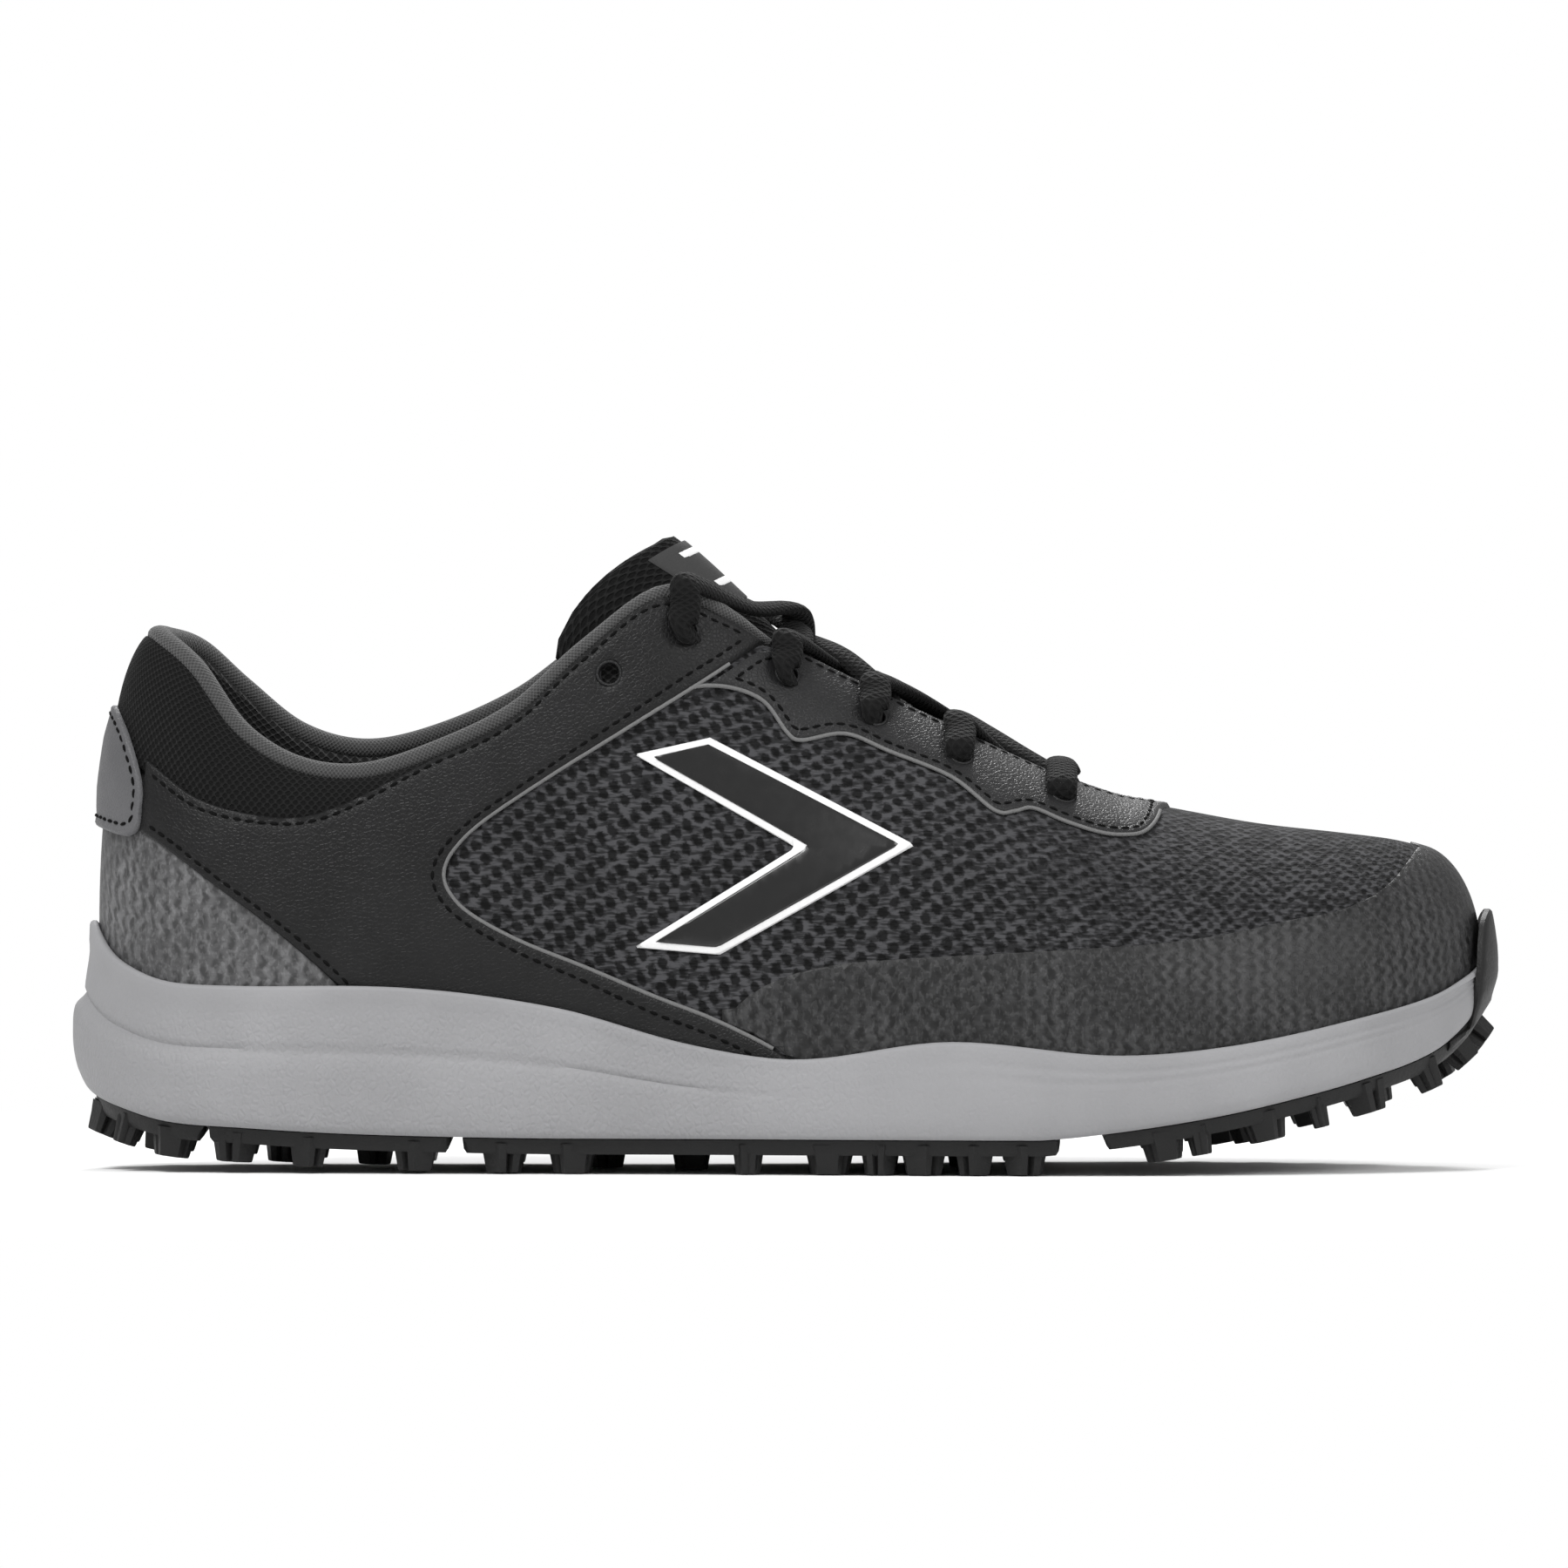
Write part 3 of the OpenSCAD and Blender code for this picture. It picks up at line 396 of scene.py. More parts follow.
def two_faced(upper, lower, F, rim, uv):
    """Verts, faces and pattern coordinates of a sheet whose two faces share the points on its rim."""
    at = np.arange(len(upper))
    under = np.where(rim, at, len(upper) + at)
    F, V, uv = used_only(np.concatenate([F, under[F][:, ::-1]]), np.concatenate([upper, lower]),
                         np.concatenate([uv, uv]))
    return V, F, uv


def round_edge(d, edge):
    """Share of the full thickness at a distance d from a round edge."""
    return np.sqrt(1 - (1 - np.clip(d / edge, 0, 1))**2)


def triangulate(rings, h, edge, joined):
    """Points about h apart, and triangles, in the first ring and outside the others. With them come each
    point's distance to the free edge and whether it lies on that edge."""
    B = np.concatenate(rings)
    dense = np.concatenate([resample(r, 0.3, True) for r in rings])
    dense = dense if joined is None else dense[~joined(dense)]
    lo, hi = B.min(0), B.max(0)
    xs = np.arange(lo[0] - h, hi[0] + h, h)
    ys = np.arange(lo[1] - h, hi[1] + h, h * 0.87)
    gx, gy = np.meshgrid(xs, ys)
    gx = gx + (np.arange(len(ys)) % 2)[:, None] * h / 2
    if joined is not None:                       # the grid is the same on both halves
        gx = gx - (xs[0] - round(xs[0]))
    G = np.stack([gx.ravel(), gy.ravel()], -1)

    def within(P):
        ok = inside(rings[0], P)
        for k in rings[1:]:
            ok &= ~inside(k, P)
        return ok
    G = G[within(G)]
    G = G[near(G, B) > 0.62 * h]
    rows = []                                    # two rows of points along each edge, for its rounding
    for w in (0.3 * edge, edge):
        for c in [c for r in rings for c in ring_in(r, w)]:
            c = c[within(c)]
            rows.append(c[near(c, dense) > 0.85 * w])
    rows = np.concatenate(rows)
    G = G[near(G, rows) > 0.45 * h]
    edges, k = [], 0
    for r in rings:
        edges += [(k + i, k + (i + 1) % len(r)) for i in range(len(r))]
        k += len(r)
    vs, _, fs, *_ = delaunay_2d_cdt([tuple(p) for p in np.concatenate([B, rows, G])], edges, [], 0, 1e-4)
    P = np.array([tuple(v) for v in vs])
    F = np.array([f for f in fs if len(f) == 3])
    F, P = used_only(F[within(P[F].mean(1))], P)
    sides = np.sort(np.concatenate([F[:, [0, 1]], F[:, [1, 2]], F[:, [2, 0]]]), axis=1)
    sides, count = np.unique(sides, axis=0, return_counts=True)
    rim = np.zeros(len(P), bool)
    rim[sides[count == 1]] = True
    if joined is not None:
        rim &= ~joined(P)
    d = near(P, dense)
    d[rim] = 0
    return P, F, d, rim


class Pad:
    """Sheet of cloth, leather or rubber: a loop in flat coordinates, laid on a surface between two
    offsets, with round edges. holes are loops too, joined(P) says where it runs on into its other half."""

    def __init__(self, loop, place, lo, hi, h, edge, holes=(), joined=None, uv=None, relief=None):
        rings = [loop if joined else resample(loop, 0.75 * h, True)] + [resample(k, 0.5, True) for k in holes]
        P, F, d, rim = triangulate(rings, h, edge, joined)
        lo = lo(P) if callable(lo) else lo
        off = lo + (hi - lo) * round_edge(d, edge)
        if relief:
            off = off + relief(P) * np.minimum(1, d / (2 * edge))
        self.P, self.F, self.off = P, F, off
        self.V, self.faces, self.uv = two_faced(place(P, off), place(P, lo), F, rim, uv(P) if uv else P)


def build(name, pads, mat, weld=0.0):
    """One object from one or more pads."""
    return make(name, *merged([(p.V, p.faces, p.uv) for p in pads]), mat, weld=weld)


def sheet(name, mat, loop, lo, hi, *size, **more):
    """One object from a pad on the surface of the upper."""
    return build(name, [Pad(loop, on_skin, lo, hi, *size, uv=skin_uv, **more)], mat)


def frames(C, N, closed=False):
    """Unit tangents, normals near N and sideways directions along a centre line."""
    if closed:
        T = np.roll(C, -1, axis=0) - np.roll(C, 1, axis=0)
    else:
        T = np.gradient(C, axis=0)
    T /= np.linalg.norm(T, axis=1, keepdims=True)
    N = N - (N * T).sum(1, keepdims=True) * T
    N /= np.maximum(np.linalg.norm(N, axis=1, keepdims=True), 1e-9)
    return T, N, np.cross(T, N)


def sweep(C, N, a, b, sides, closed=False):
    """Tube along C, a wide across N and b high along N. Returns verts, faces, uv."""
    _, N, S = frames(C, N, closed)
    n = len(C)
    a, b = [np.broadcast_to(r, n)[:, None] for r in (a, b)]
    ang = np.arange(sides) * 2 * math.pi / sides
    V = C[:, None] + S[:, None] * (a * np.cos(ang))[..., None] + N[:, None] * (b * np.sin(ang))[..., None]
    uv = np.stack(np.broadcast_arrays(length_along(C)[:, None], (ang * 2)[None]), -1).reshape(-1, 2)
    F = []
    for i in range(n if closed else n - 1):
        for j in range(sides):
            a0, a1 = i * sides + j, i * sides + (j + 1) % sides
            b0, b1 = (i + 1) % n * sides + j, (i + 1) % n * sides + (j + 1) % sides
            F.append([a0, b0, b1, a1])
    if not closed:
        F.append(list(range(sides)))
        F.append([(n - 1) * sides + j for j in range(sides)][::-1])
    return V.reshape(-1, 3), F, uv


def stitches(name, paths, mat, pitch=2.7, length=2.0, r=0.4):
    """Run of thread stitches along paths, each a pair of points and outward directions."""
    rings, seg = 5, 6
    bows = [(math.cos(math.pi * i / rings), math.sin(math.pi * i / rings)) for i in range(1, rings)]
    turns = [(math.cos(2 * math.pi * j / seg), math.sin(2 * math.pi * j / seg)) for j in range(seg)]
    ball = np.array([[-1, 0, 0]] + [[-c, w * x, w * y] for c, w in bows for x, y in turns] + [[1, 0, 0]])
    faces = [[0, 1 + (j + 1) % seg, 1 + j] for j in range(seg)]
    for i in range(rings - 2):
        for j in range(seg):
            a, b = 1 + i * seg + j, 1 + i * seg + (j + 1) % seg
            faces.append([a, b, b + seg, a + seg])
    e = len(ball) - 1
    faces += [[e, e - seg + j, e - seg + (j + 1) % seg] for j in range(seg)]
    along, across, out = (ball * [length / 2, r, r]).T[..., None]
    parts = []
    for C, N in paths:
        both, s = np.concatenate([C, N], 1), length_along(C)
        at = np.arange(pitch / 2, s[-1], pitch)
        both = np.stack([np.interp(at, s, both[:, c]) for c in range(6)], -1)
        if len(both) >= 3:
            for c, t, m, w in zip(both[:, :3], *frames(both[:, :3], both[:, 3:])):
                parts.append((c + along * t + across * w + out * m, faces, None))
    return make(name, *merged(parts), mat, 60)


def laid(P, off):
    """A flat line as points on the surface and their outward directions."""
    q, t = qt_of(P)
    q = np.where(q < -180, q + 360, q)
    return skin(q, t, off), away(q, t)


# ---------------------------------------------------------------- materials
def grey(v, blue=1.0):
    """Colour that shows as a grey of v out of 255, with its blue scaled."""
    r, b = [c / 12.92 if c <= 0.04045 else ((c + 0.055) / 1.055)**2.4 for c in (v / 255, v * blue / 255)]
    return (r, r, b, 1)


class X:
    """Number in a material's node tree, with arithmetic."""

    def __init__(self, m, socket):
        self.m, self.socket = m, socket

    def op(self, kind, *others):
        n = self.m.node("Math")
        n.operation = kind
        for i, v in enumerate((self,) + others):
            self.m.feed(n.inputs[i], v)
        return X(self.m, n.outputs[0])

    __add__ = partialmethod(op, "ADD")
    __sub__ = partialmethod(op, "SUBTRACT")
    __mul__ = partialmethod(op, "MULTIPLY")
    __truediv__ = partialmethod(op, "DIVIDE")
    frac = partialmethod(op, "FRACT")
    abs = partialmethod(op, "ABSOLUTE")
    min = partialmethod(op, "MINIMUM")
    max = partialmethod(op, "MAXIMUM")
    pow = partialmethod(op, "POWER")

    def step(self, a, b, lo=0.0, hi=1.0):
        """Smooth rise from lo at a to hi at b."""
        if a > b:
            a, b, lo, hi = b, a, hi, lo
        n = self.m.node("MapRange", Value=self, From_Min=a, From_Max=b, To_Min=lo, To_Max=hi)
        n.interpolation_type = "SMOOTHSTEP"
        return X(self.m, n.outputs["Result"])


class Material:
    def __init__(self, name, rough=0.6, spec=0.4, sheen=0.0, coat=0.0):
        self.mat = bpy.data.materials.new(name)
        self.mat.use_nodes = True
        self.tree = self.mat.node_tree
        self.bsdf = self.tree.nodes["Principled BSDF"]
        for key, v in (("Roughness", rough), ("Specular IOR Level", spec), ("Sheen Weight", sheen),
                       ("Sheen Roughness", 0.5), ("Coat Weight", coat), ("Coat Roughness", 0.12)):
            self.bsdf.inputs[key].default_value = v

    def feed(self, slot, v):
        """Set an input, or link it if v is an X."""
        if isinstance(v, X):
            self.tree.links.new(v.socket, slot)
        else:
            slot.default_value = v

    def node(self, kind, **inputs):
        """New node with some inputs, in whose names _ stands for a space."""
        n = self.tree.nodes.new("ShaderNode" + kind)
        for key, v in inputs.items():
            self.feed(n.inputs[key.replace("_", " ")], v)
        return n

    def split(self, vector, scale):
        n = self.node("SeparateXYZ", Vector=X(self, vector))
        return [X(self, c) * scale for c in n.outputs]

    def uv(self):
        """Pattern coordinates in mm."""
        n = self.node("UVMap")
        n.uv_map = "pattern"
        return self.split(n.outputs["UV"], 100.0)[:2]

    def place(self):
        """Place in the object in mm."""
        return self.split(self.node("TexCoord").outputs["Object"], 1000.0)

    def texture(self, kind, size, stretch, seed=0.0, **inputs):
        """3-D texture with features of about size mm."""
        at = self.node("Mapping", Vector=X(self, self.node("TexCoord").outputs["Object"]), Scale=stretch,
                       Location=(seed, seed * 0.7, seed * 0.3))
        return self.node("Tex" + kind, Vector=X(self, at.outputs[0]), Scale=1000.0 / size, **inputs)

    def noise(self, size, detail=3.0, stretch=(1, 1, 1), seed=0.0):
        n = self.texture("Noise", size, stretch, seed, Detail=detail, Roughness=0.6)
        return X(self, n.outputs["Fac"])

    def cells(self, size, stretch=(1, 1, 1)):
        """Distance to the nearest border between cells."""
        n = self.texture("Voronoi", size, stretch)
        n.feature = "DISTANCE_TO_EDGE"
        return X(self, n.outputs["Distance"])

    def tones(self, f, low, high, blue=1.0):
        """Colour from one grey at 0 to another at 1."""
        n = self.node("Mix", Factor=f)
        n.data_type = "RGBA"
        n.inputs[6].default_value, n.inputs[7].default_value = grey(low, blue), grey(high, blue)
        self.tree.links.new(n.outputs[2], self.bsdf.inputs["Base Color"])

    def rough(self, x):
        self.feed(self.bsdf.inputs["Roughness"], x)

    def bump(self, x, mm):
        n = self.node("Bump", Distance=mm * MM, Height=x)
        self.tree.links.new(n.outputs[0], self.bsdf.inputs["Normal"])


def leather(name, base, dark, rough=0.48):
    m = Material(name, rough, 0.22)
    pores = m.cells(0.9).step(0.0, 0.22)
    fine = m.noise(0.5, 2.0)
    broad = m.noise(16.0, 3.0, seed=3.0)
    m.tones(broad.step(0.35, 0.65) * 0.6 + fine * 0.25, dark, base, 1.02)
    m.rough((fine * 0.14 + rough - 0.07) + pores * -0.05)
    m.bump(pores * 0.6 + fine * 0.4, 0.09)
    return m.mat


def dots(u, v, pitch, row):
    """Distance in mm to the nearest point of a staggered grid."""
    def one(du, dv):
        a = (((u + du) / pitch).frac() - 0.5) * pitch
        b = (((v + dv) / (2 * row)).frac() - 0.5) * (2 * row)
        return (a * a + b * b).pow(0.5)
    return one(0.0, 0.0).min(one(pitch / 2, row))


def knit_tone(m):
    """Grey yarn in broken courses with dark dots, which get smaller and closer towards the toe."""
    u, v = m.uv()
    wob = m.noise(9.0, 2.0) - 0.5
    ragged = m.noise(1.1, 2.0) - 0.5
    uu, vv = u + wob * 0.9, v + u * 0.16 + wob * 0.8
    big = (dots(uu, vv, 4.5, 2.2) + ragged * 1.7).step(0.75, 1.5)       # 0 in a dot, 1 between
    small = (dots(uu, vv, 3.0, 1.6) + ragged * 1.5).step(0.45, 1.1)
    front = m.place()[0].step(25.0, 95.0, 0.0, 0.8)
    yarn = big + (small - big) * front
    courses = m.noise(0.9, 1.0, (0.3, 0.3, 1.25)).step(0.36, 0.62)
    return yarn, courses


def knit(name):
    m = Material(name, 0.86, 0.12, sheen=0.05)
    yarn, courses = knit_tone(m)
    patch = m.noise(22.0, 1.0, seed=8.0).step(0.35, 0.65, 0.82, 1.0)
    m.tones((yarn * (courses * 0.72 + 0.28) + courses * 0.12) * patch, 8, 66, 1.03)
    m.bump(courses * 0.5 + yarn * 0.8, 0.3)
    return m.mat


def film(name, low, high, wave):
    """Knit seen through a welded film: softer, with fine flecks and faint upright waves."""
    m = Material(name, 0.5, 0.22)
    yarn, courses = knit_tone(m)
    u, v = m.uv()
    uu = u + (m.noise(5.0, 2.0) - 0.5) * 3.0
    vv = v + (m.noise(4.0, 2.0, seed=2.0) - 0.5) * 3.4
    zig = ((vv / 3.4).frac() - 0.5).abs() * 2.6
    waves = (((uu + zig) / 3.3).frac() - 0.5).abs().step(0.1, 0.4)
    fade = m.noise(24.0, 1.0, seed=5.0).step(0.42, 0.62)
    fleck = m.noise(1.0, 1.0, (1.25, 1.25, 0.7)).step(0.5, 0.64)
    m.tones(waves * (fade * 0.75 + 0.25) * wave + yarn * (courses * 0.5 + 0.5) * 0.3 + fleck * 0.26,
            low, high, 1.01)
    m.bump(waves * fade * 0.3 + fleck * 0.5, 0.12)
    m.rough(fleck * 0.12 + 0.45)
    return m.mat


def net(name, pitch, hole, rib, bump=0.5, ratio=0.62, sheen=0.1):
    """Open spacer mesh: staggered holes in a knitted net."""
    m = Material(name, 0.9, 0.2, sheen=sheen)
    ridge = dots(*m.uv(), pitch, pitch * ratio).step(0.22 * pitch, 0.46 * pitch)
    fuzz = m.noise(0.4, 2.0)
    m.tones(ridge * (fuzz * 0.5 + 0.6), hole, rib)
    m.bump(ridge + fuzz * 0.25, bump)
    return m.mat


def foam(name):
    """Moulded foam, smoother towards the toe and the upper."""
    m = Material(name, 0.62, 0.25)
    x, _, z = m.place()
    grain = m.cells(1.25, (1.0, 1.0, 0.7)).step(0.0, 0.3)
    folds = m.noise(2.6, 3.0, (0.8, 0.8, 1.3), seed=4.0)
    fine = m.noise(0.6, 3.0)
    heel = x.step(40.0, -20.0, 0.35, 1.0) * z.step(38.0, 30.0, 0.2, 1.0)
    tint = m.noise(30.0, 2.0, seed=1.0)
    m.tones(tint.step(0.3, 0.7) * 0.6 + fine * 0.4, 131, 141, 1.012)
    m.bump((grain * 0.5 + folds * 1.1) * heel + fine * 0.25, 0.16)
    m.rough(fine * 0.12 + 0.54)
    return m.mat


def rubber(name):
    m = Material(name, 0.55, 0.25)
    fine = m.noise(0.7, 3.0)
    m.tones(m.noise(12.0, 2.0, seed=2.0) * 0.6 + fine * 0.4, 18, 34)
    m.bump(fine, 0.12)
    m.rough(fine * 0.2 + 0.42)
    return m.mat


def braid(name, low, high, pitch=1.5, bump=0.4):
    """Two crossing runs of strands."""
    m = Material(name, 0.8, 0.15, sheen=0.03)
    u, v = m.uv()
    a = ((u / pitch + v / 1.6).frac() - 0.5).abs() * 2.0
    b = ((u / pitch - v / 1.6).frac() - 0.5).abs() * 2.0
    plait = a.max(b)
    fuzz = m.noise(0.35, 2.0)
    m.tones(plait * (fuzz * 0.5 + 0.5), low, high)
    m.bump(plait + fuzz * 0.3, bump)
    return m.mat


def ribbed(name, low, high, pitch=0.9, bump=0.3):
    m = Material(name, 0.9, 0.2, sheen=0.2)
    d = dots(*m.uv(), pitch, pitch * 0.55).step(0.12 * pitch, 0.5 * pitch)
    fuzz = m.noise(0.4, 2.0)
    m.tones(d * 0.6 + fuzz * 0.5, low, high)
    m.bump(d * 0.7 + fuzz * 0.6, bump)
    return m.mat


def plain(name, low, high, rough=0.6, size=0.8, bump=0.08, blue=1.0, coat=0.0, spec=0.4):
    m = Material(name, rough, spec, coat=coat)
    fine = m.noise(size, 3.0)
    m.tones(fine, low, high, blue)
    m.bump(fine, bump)
    m.rough(fine * 0.14 + rough - 0.07)
    return m.mat


M = {
    "leather": leather("black_leather", 25, 17),
    "stay": leather("stay_leather", 36, 28, 0.44),
    "tab": leather("grey_leather", 92, 82, 0.5),
    "knit": knit("dotted_knit"),
    "film": film("welded_film", 24, 68, 0.42),
    "heel_film": film("heel_welded_film", 56, 108, 0.55),
    "mesh": net("collar_net", 1.75, 2, 24, 0.6, sheen=0.02),
    "tongue": net("tongue_net", 1.5, 2, 24, 0.5, sheen=0.02),
    "lining": net("lining_net", 2.3, 16, 62, 0.5, ratio=0.5),
    "binding": ribbed("binding_knit", 34, 84),
    "foam": foam("midsole_foam"),
    "rubber": rubber("outsole_rubber"),
    "lace": braid("lace_braid", 3, 19),
    "thread": plain("black_thread", 1, 6, 0.8, 0.4, 0.06, spec=0.12),
    "edge": plain("cut_edge", 78, 112, 0.7, 0.5, 0.1),
    "gloss": plain("gloss_black", 12, 15, 0.25, 3.0, 0.02, coat=0.3),
    "white": plain("white_edging", 205, 222, 0.5, 0.6, 0.05),
    "label": plain("woven_label", 40, 55, 0.75, 0.4, 0.1),
    "mark": plain("label_mark", 205, 225, 0.7, 0.5, 0.05),
    "web": plain("keeper_webbing", 120, 150, 0.75, 0.45, 0.15),
    "sock": plain("sockliner_cloth", 44, 62, 0.9, 0.7, 0.2),
    "board": plain("fibre_board", 176, 196, 0.85, 0.9, 0.1, 0.9),
    "pad": plain("collar_foam_core", 60, 72, 0.9, 1.1, 0.2),
    "stiff": plain("stiffener_sheet", 170, 188, 0.7, 0.8, 0.08, 0.93),
}


# ---------------------------------------------------------------- lines and sheets of the upper
def circle_at(c, r, n):
    """Loop in flat coordinates that is a circle of radius r on the surface."""
    step = np.array([[c[0] - 0.5, c[1]], [c[0] + 0.5, c[1]], [c[0], c[1] - 0.5], [c[0], c[1] + 0.5]])
    p = on_skin(step, np.zeros(4))
    J = np.stack([p[1] - p[0], p[3] - p[2]], -1)
    e1 = J[:, 0] / np.linalg.norm(J[:, 0])
    e2 = J[:, 1] - e1 * (J[:, 1] @ e1)
    e2 /= np.linalg.norm(e2)
    a = np.linspace(0, 2 * math.pi, n, endpoint=False)
    ring = np.outer(np.cos(a), e1) + np.outer(np.sin(a), e2)
    return c + (np.linalg.pinv(J) @ ring.T).T * r


def holes_for(s, r, which=range(6)):
    return [circle_at(flat_of(spot(*EYELETS[i], s)), r, 28) for i in which]


def inset(poly, w):
    """Corners of a closed polygon moved in by w."""
    p = np.asarray(poly, float)
    d = np.roll(p, -1, axis=0) - p
    d /= np.linalg.norm(d, axis=1, keepdims=True)
    n = np.stack([-d[:, 1], d[:, 0]], -1)
    if not inside(p, (p[:1] + p[1:2]) / 2 + n[:1] * 0.1)[0]:
        n = -n
    return np.array([np.linalg.solve(n[[i - 1, i]], n[[i - 1, i]] @ p[i] + w) for i in range(len(p))])


def mirrored(q, s):
    """Stations as the q of side s."""
    return -q if s > 0 else q


def line_qt(qs, ts):
    return flat_of(np.stack([qs, ts], -1))


def band(qs, lows, highs):
    """Loop between a lower and an upper line."""
    return np.concatenate([line_qt(qs, lows), line_qt(qs[::-1], highs[::-1])])


def xz_line(points, s, n=6):
    p = smooth_line(points, n)
    return flat_of(spot(p[:, 0], p[:, 1], s))


def groove(d, at, deep, wide):
    """Relief of a groove along an edge, by the distance to the edge."""
    return -deep * np.exp(-((d - at) / wide)**2)


def throat_t(q):
    """Upper edge along the throat, which is a narrow slit. There is no slit in front of it."""
    gap = 0.3 / arc_len(q) * np.clip((THROAT_X - top(q)[:, 0]) / 3, 0, 1)
    return np.where(top(q)[:, 0] >= THROAT_X - 0.1, 1.0, 1 - gap)


def half_sheet(s, q, lows, highs, rows, place, lo, hi, *size):
    """Half of a sheet that runs on into its other half along the ridge, at the toe and at the heel."""
    up = np.linspace(0, 1, rows)[1:-1]
    toe = [(q[-1], lows[-1] + (highs[-1] - lows[-1]) * v) for v in up]
    heel = [(q[0], highs[0] + (lows[0] - highs[0]) * v) for v in up] if abs(q[0]) < 1 else []
    loop = flat_of([*zip(q, lows)] + toe + [*zip(q[::-1], highs[::-1])] + heel)

    def joined(A):
        q, t = qt_of(A)
        return (t > 0.9995) | (np.abs(np.abs(q) - 180) < 0.02) | (np.abs(q) < HEEL_SEAM + 0.01)
    return Pad(loop[::-1] if s > 0 else loop, place, lo, hi, *size, joined, skin_uv)


def seam(line, w, loop, off):
    """Row of stitches along a line of a loop, w inside the loop."""
    d = np.gradient(line, axis=0)
    d /= np.linalg.norm(d, axis=1, keepdims=True)
    n = np.stack([-d[:, 1], d[:, 0]], -1)
    m = len(line) // 2
    row = line + n * w if inside(loop, line[m:m + 1] + n[m:m + 1] * 0.4)[0] else line - n * w
    row = row[inside(loop, row)]
    row = row[near(row, resample(loop, 0.5, True)) > 0.8 * w]
    return laid(resample(row, 0.6), off)


def on(ob, body, slot, *nodes):
    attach(ob, body)
    if nodes:
        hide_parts(*nodes)


def bends(ob, slot, *nodes):
    """Hide the CAD nodes that the piece stands in for, and bake its placement into its mesh."""
    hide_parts(*nodes)
    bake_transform(ob)


# ---------------------------------------------------------------- knit, films and leather
def knit_half(s):
    q = mirrored(np.linspace(HEEL_SEAM, 180.0, 150), s)
    highs = np.minimum(meets(q, SADDLE_TOP, -5.8), collar_t(q))
    highs = np.where(half(q) > station(COLLAR_X), throat_t(q), highs)
    return half_sheet(s, q, low_t(q), highs, 34, on_skin, -1.15, 0.0, 1.9, 0.7, holes_for(s, 2.35))


def toe_film_half(s):
    q = mirrored(np.linspace(float(station(-13.5)), 180, 90), s)
    lows = low_t(q)
    window = np.maximum(lows, meets(q, np.array(WINDOW[:9])[::-1], 0.5))
    lows = np.where(foot(q)[:, 0] < 6, window, lows)
    highs = np.minimum(1, meets(q, TOE_FILM))
    highs = np.where((highs > 0.985) | (half(q) > 172), 1.0, np.maximum(highs, lows + 0.02))
    return half_sheet(s, q, lows, highs, 30, on_skin, 0.02, 0.38, 1.9, 0.35, ())


def heel_film():
    q = np.linspace(-50.5, 50.5, 90)
    highs = np.minimum(meets(q, SADDLE_REAR, 2.5), meets(q, TAB_LOW, 3.0))
    loop = band(q, low_t(q), np.maximum(low_t(q) + 0.02, highs))
    return sheet("heel_wrap_film", M["heel_film"], loop, 0.02, 0.38, 2.0, 0.35)


bends(build("upper_knit", [knit_half(-1), knit_half(1)], M["knit"], 0.02),
      "knit", "quarter_mesh_lateral", "quarter_mesh_medial", "vamp_mesh")
bends(build("toe_cap_film", [toe_film_half(-1), toe_film_half(1)], M["film"], 0.02), "film", "toe_film")
on(heel_film(), "rearfoot", "film", "heel_film")

stitch_paths, edge_paths, rim_paths = [], [], []


def saddle(s, name):
    """Leather saddle with its window."""
    rear_end, front_end = 19.5, float(station(-9.5))
    q = mirrored(np.linspace(rear_end, 60, 60), s)
    rear_t = meets(q, SADDLE_REAR)
    hit = rear_t > low_t(q)
    rear = line_qt(q[hit], rear_t[hit])
    q = mirrored(np.linspace(half(q[hit][-1]) + 0.5, float(station(2)), 60), s)
    low = line_qt(q, low_t(q))
    window = xz_line(WINDOW, s)
    q = mirrored(np.linspace(front_end, rear_end, 110), s)
    tops = line_qt(q, np.minimum(collar_t(q, 0.6), meets(q, SADDLE_TOP)))
    loop = np.concatenate([rear, low, window[window[:, 1] > low[-1, 1] + 0.5], tops])

    def relief(P):
        d = np.min([near(P, resample(line, 0.5)) for line in (window, tops, rear)], axis=0)
        return groove(d, 2.3, 0.28, 0.7) + groove(d, 4.2, -0.05, 1.2)
    ob = sheet("saddle_leather_" + name, M["leather"], loop, 0.03, 1.12, 1.7, 0.75,
               holes_for(s, 2.25, (0, 1)), relief=relief)
    on(ob, "rearfoot", "leather_black", "saddle_" + name)
    stitch_paths.extend(seam(line, 2.3, loop, 0.92) for line in (window, tops, rear))
    edge_paths.append(laid(resample(window[10:-3], 0.7), 0.55))


def eyestay(s, name):
    stay = xz_line(STAY_LOW, s)
    q = mirrored(np.linspace(float(station(81.5)), float(station(-21)), 100), s)
    back_t = np.minimum(throat_t(q), meets(q, np.array(WINDOW[9:]), -1.2))
    throat = line_qt(q, np.where(half(q) < station(-4), back_t, throat_t(q)))
    loop = resample(np.concatenate([stay[:-1], throat]), 1.2, True)

    def relief(P):
        d = np.minimum(near(P, resample(stay, 0.5)), near(P, resample(throat[40:], 0.5)))
        return groove(d, 2.1, 0.22, 0.65)
    ob = sheet("eyestay_leather_" + name, M["stay"], loop, 0.02, 1.02, 1.5, 0.7,
               holes_for(s, 2.25, (2, 3, 4, 5)), relief=relief)
    on(ob, "rearfoot", "leather_black", "eyestay_" + name)
    stitch_paths.extend(seam(line, 2.1, loop, 0.85) for line in (stay, throat[4:]))
    edge_paths.append(laid(resample(stay[5:-2], 0.7), 0.5))


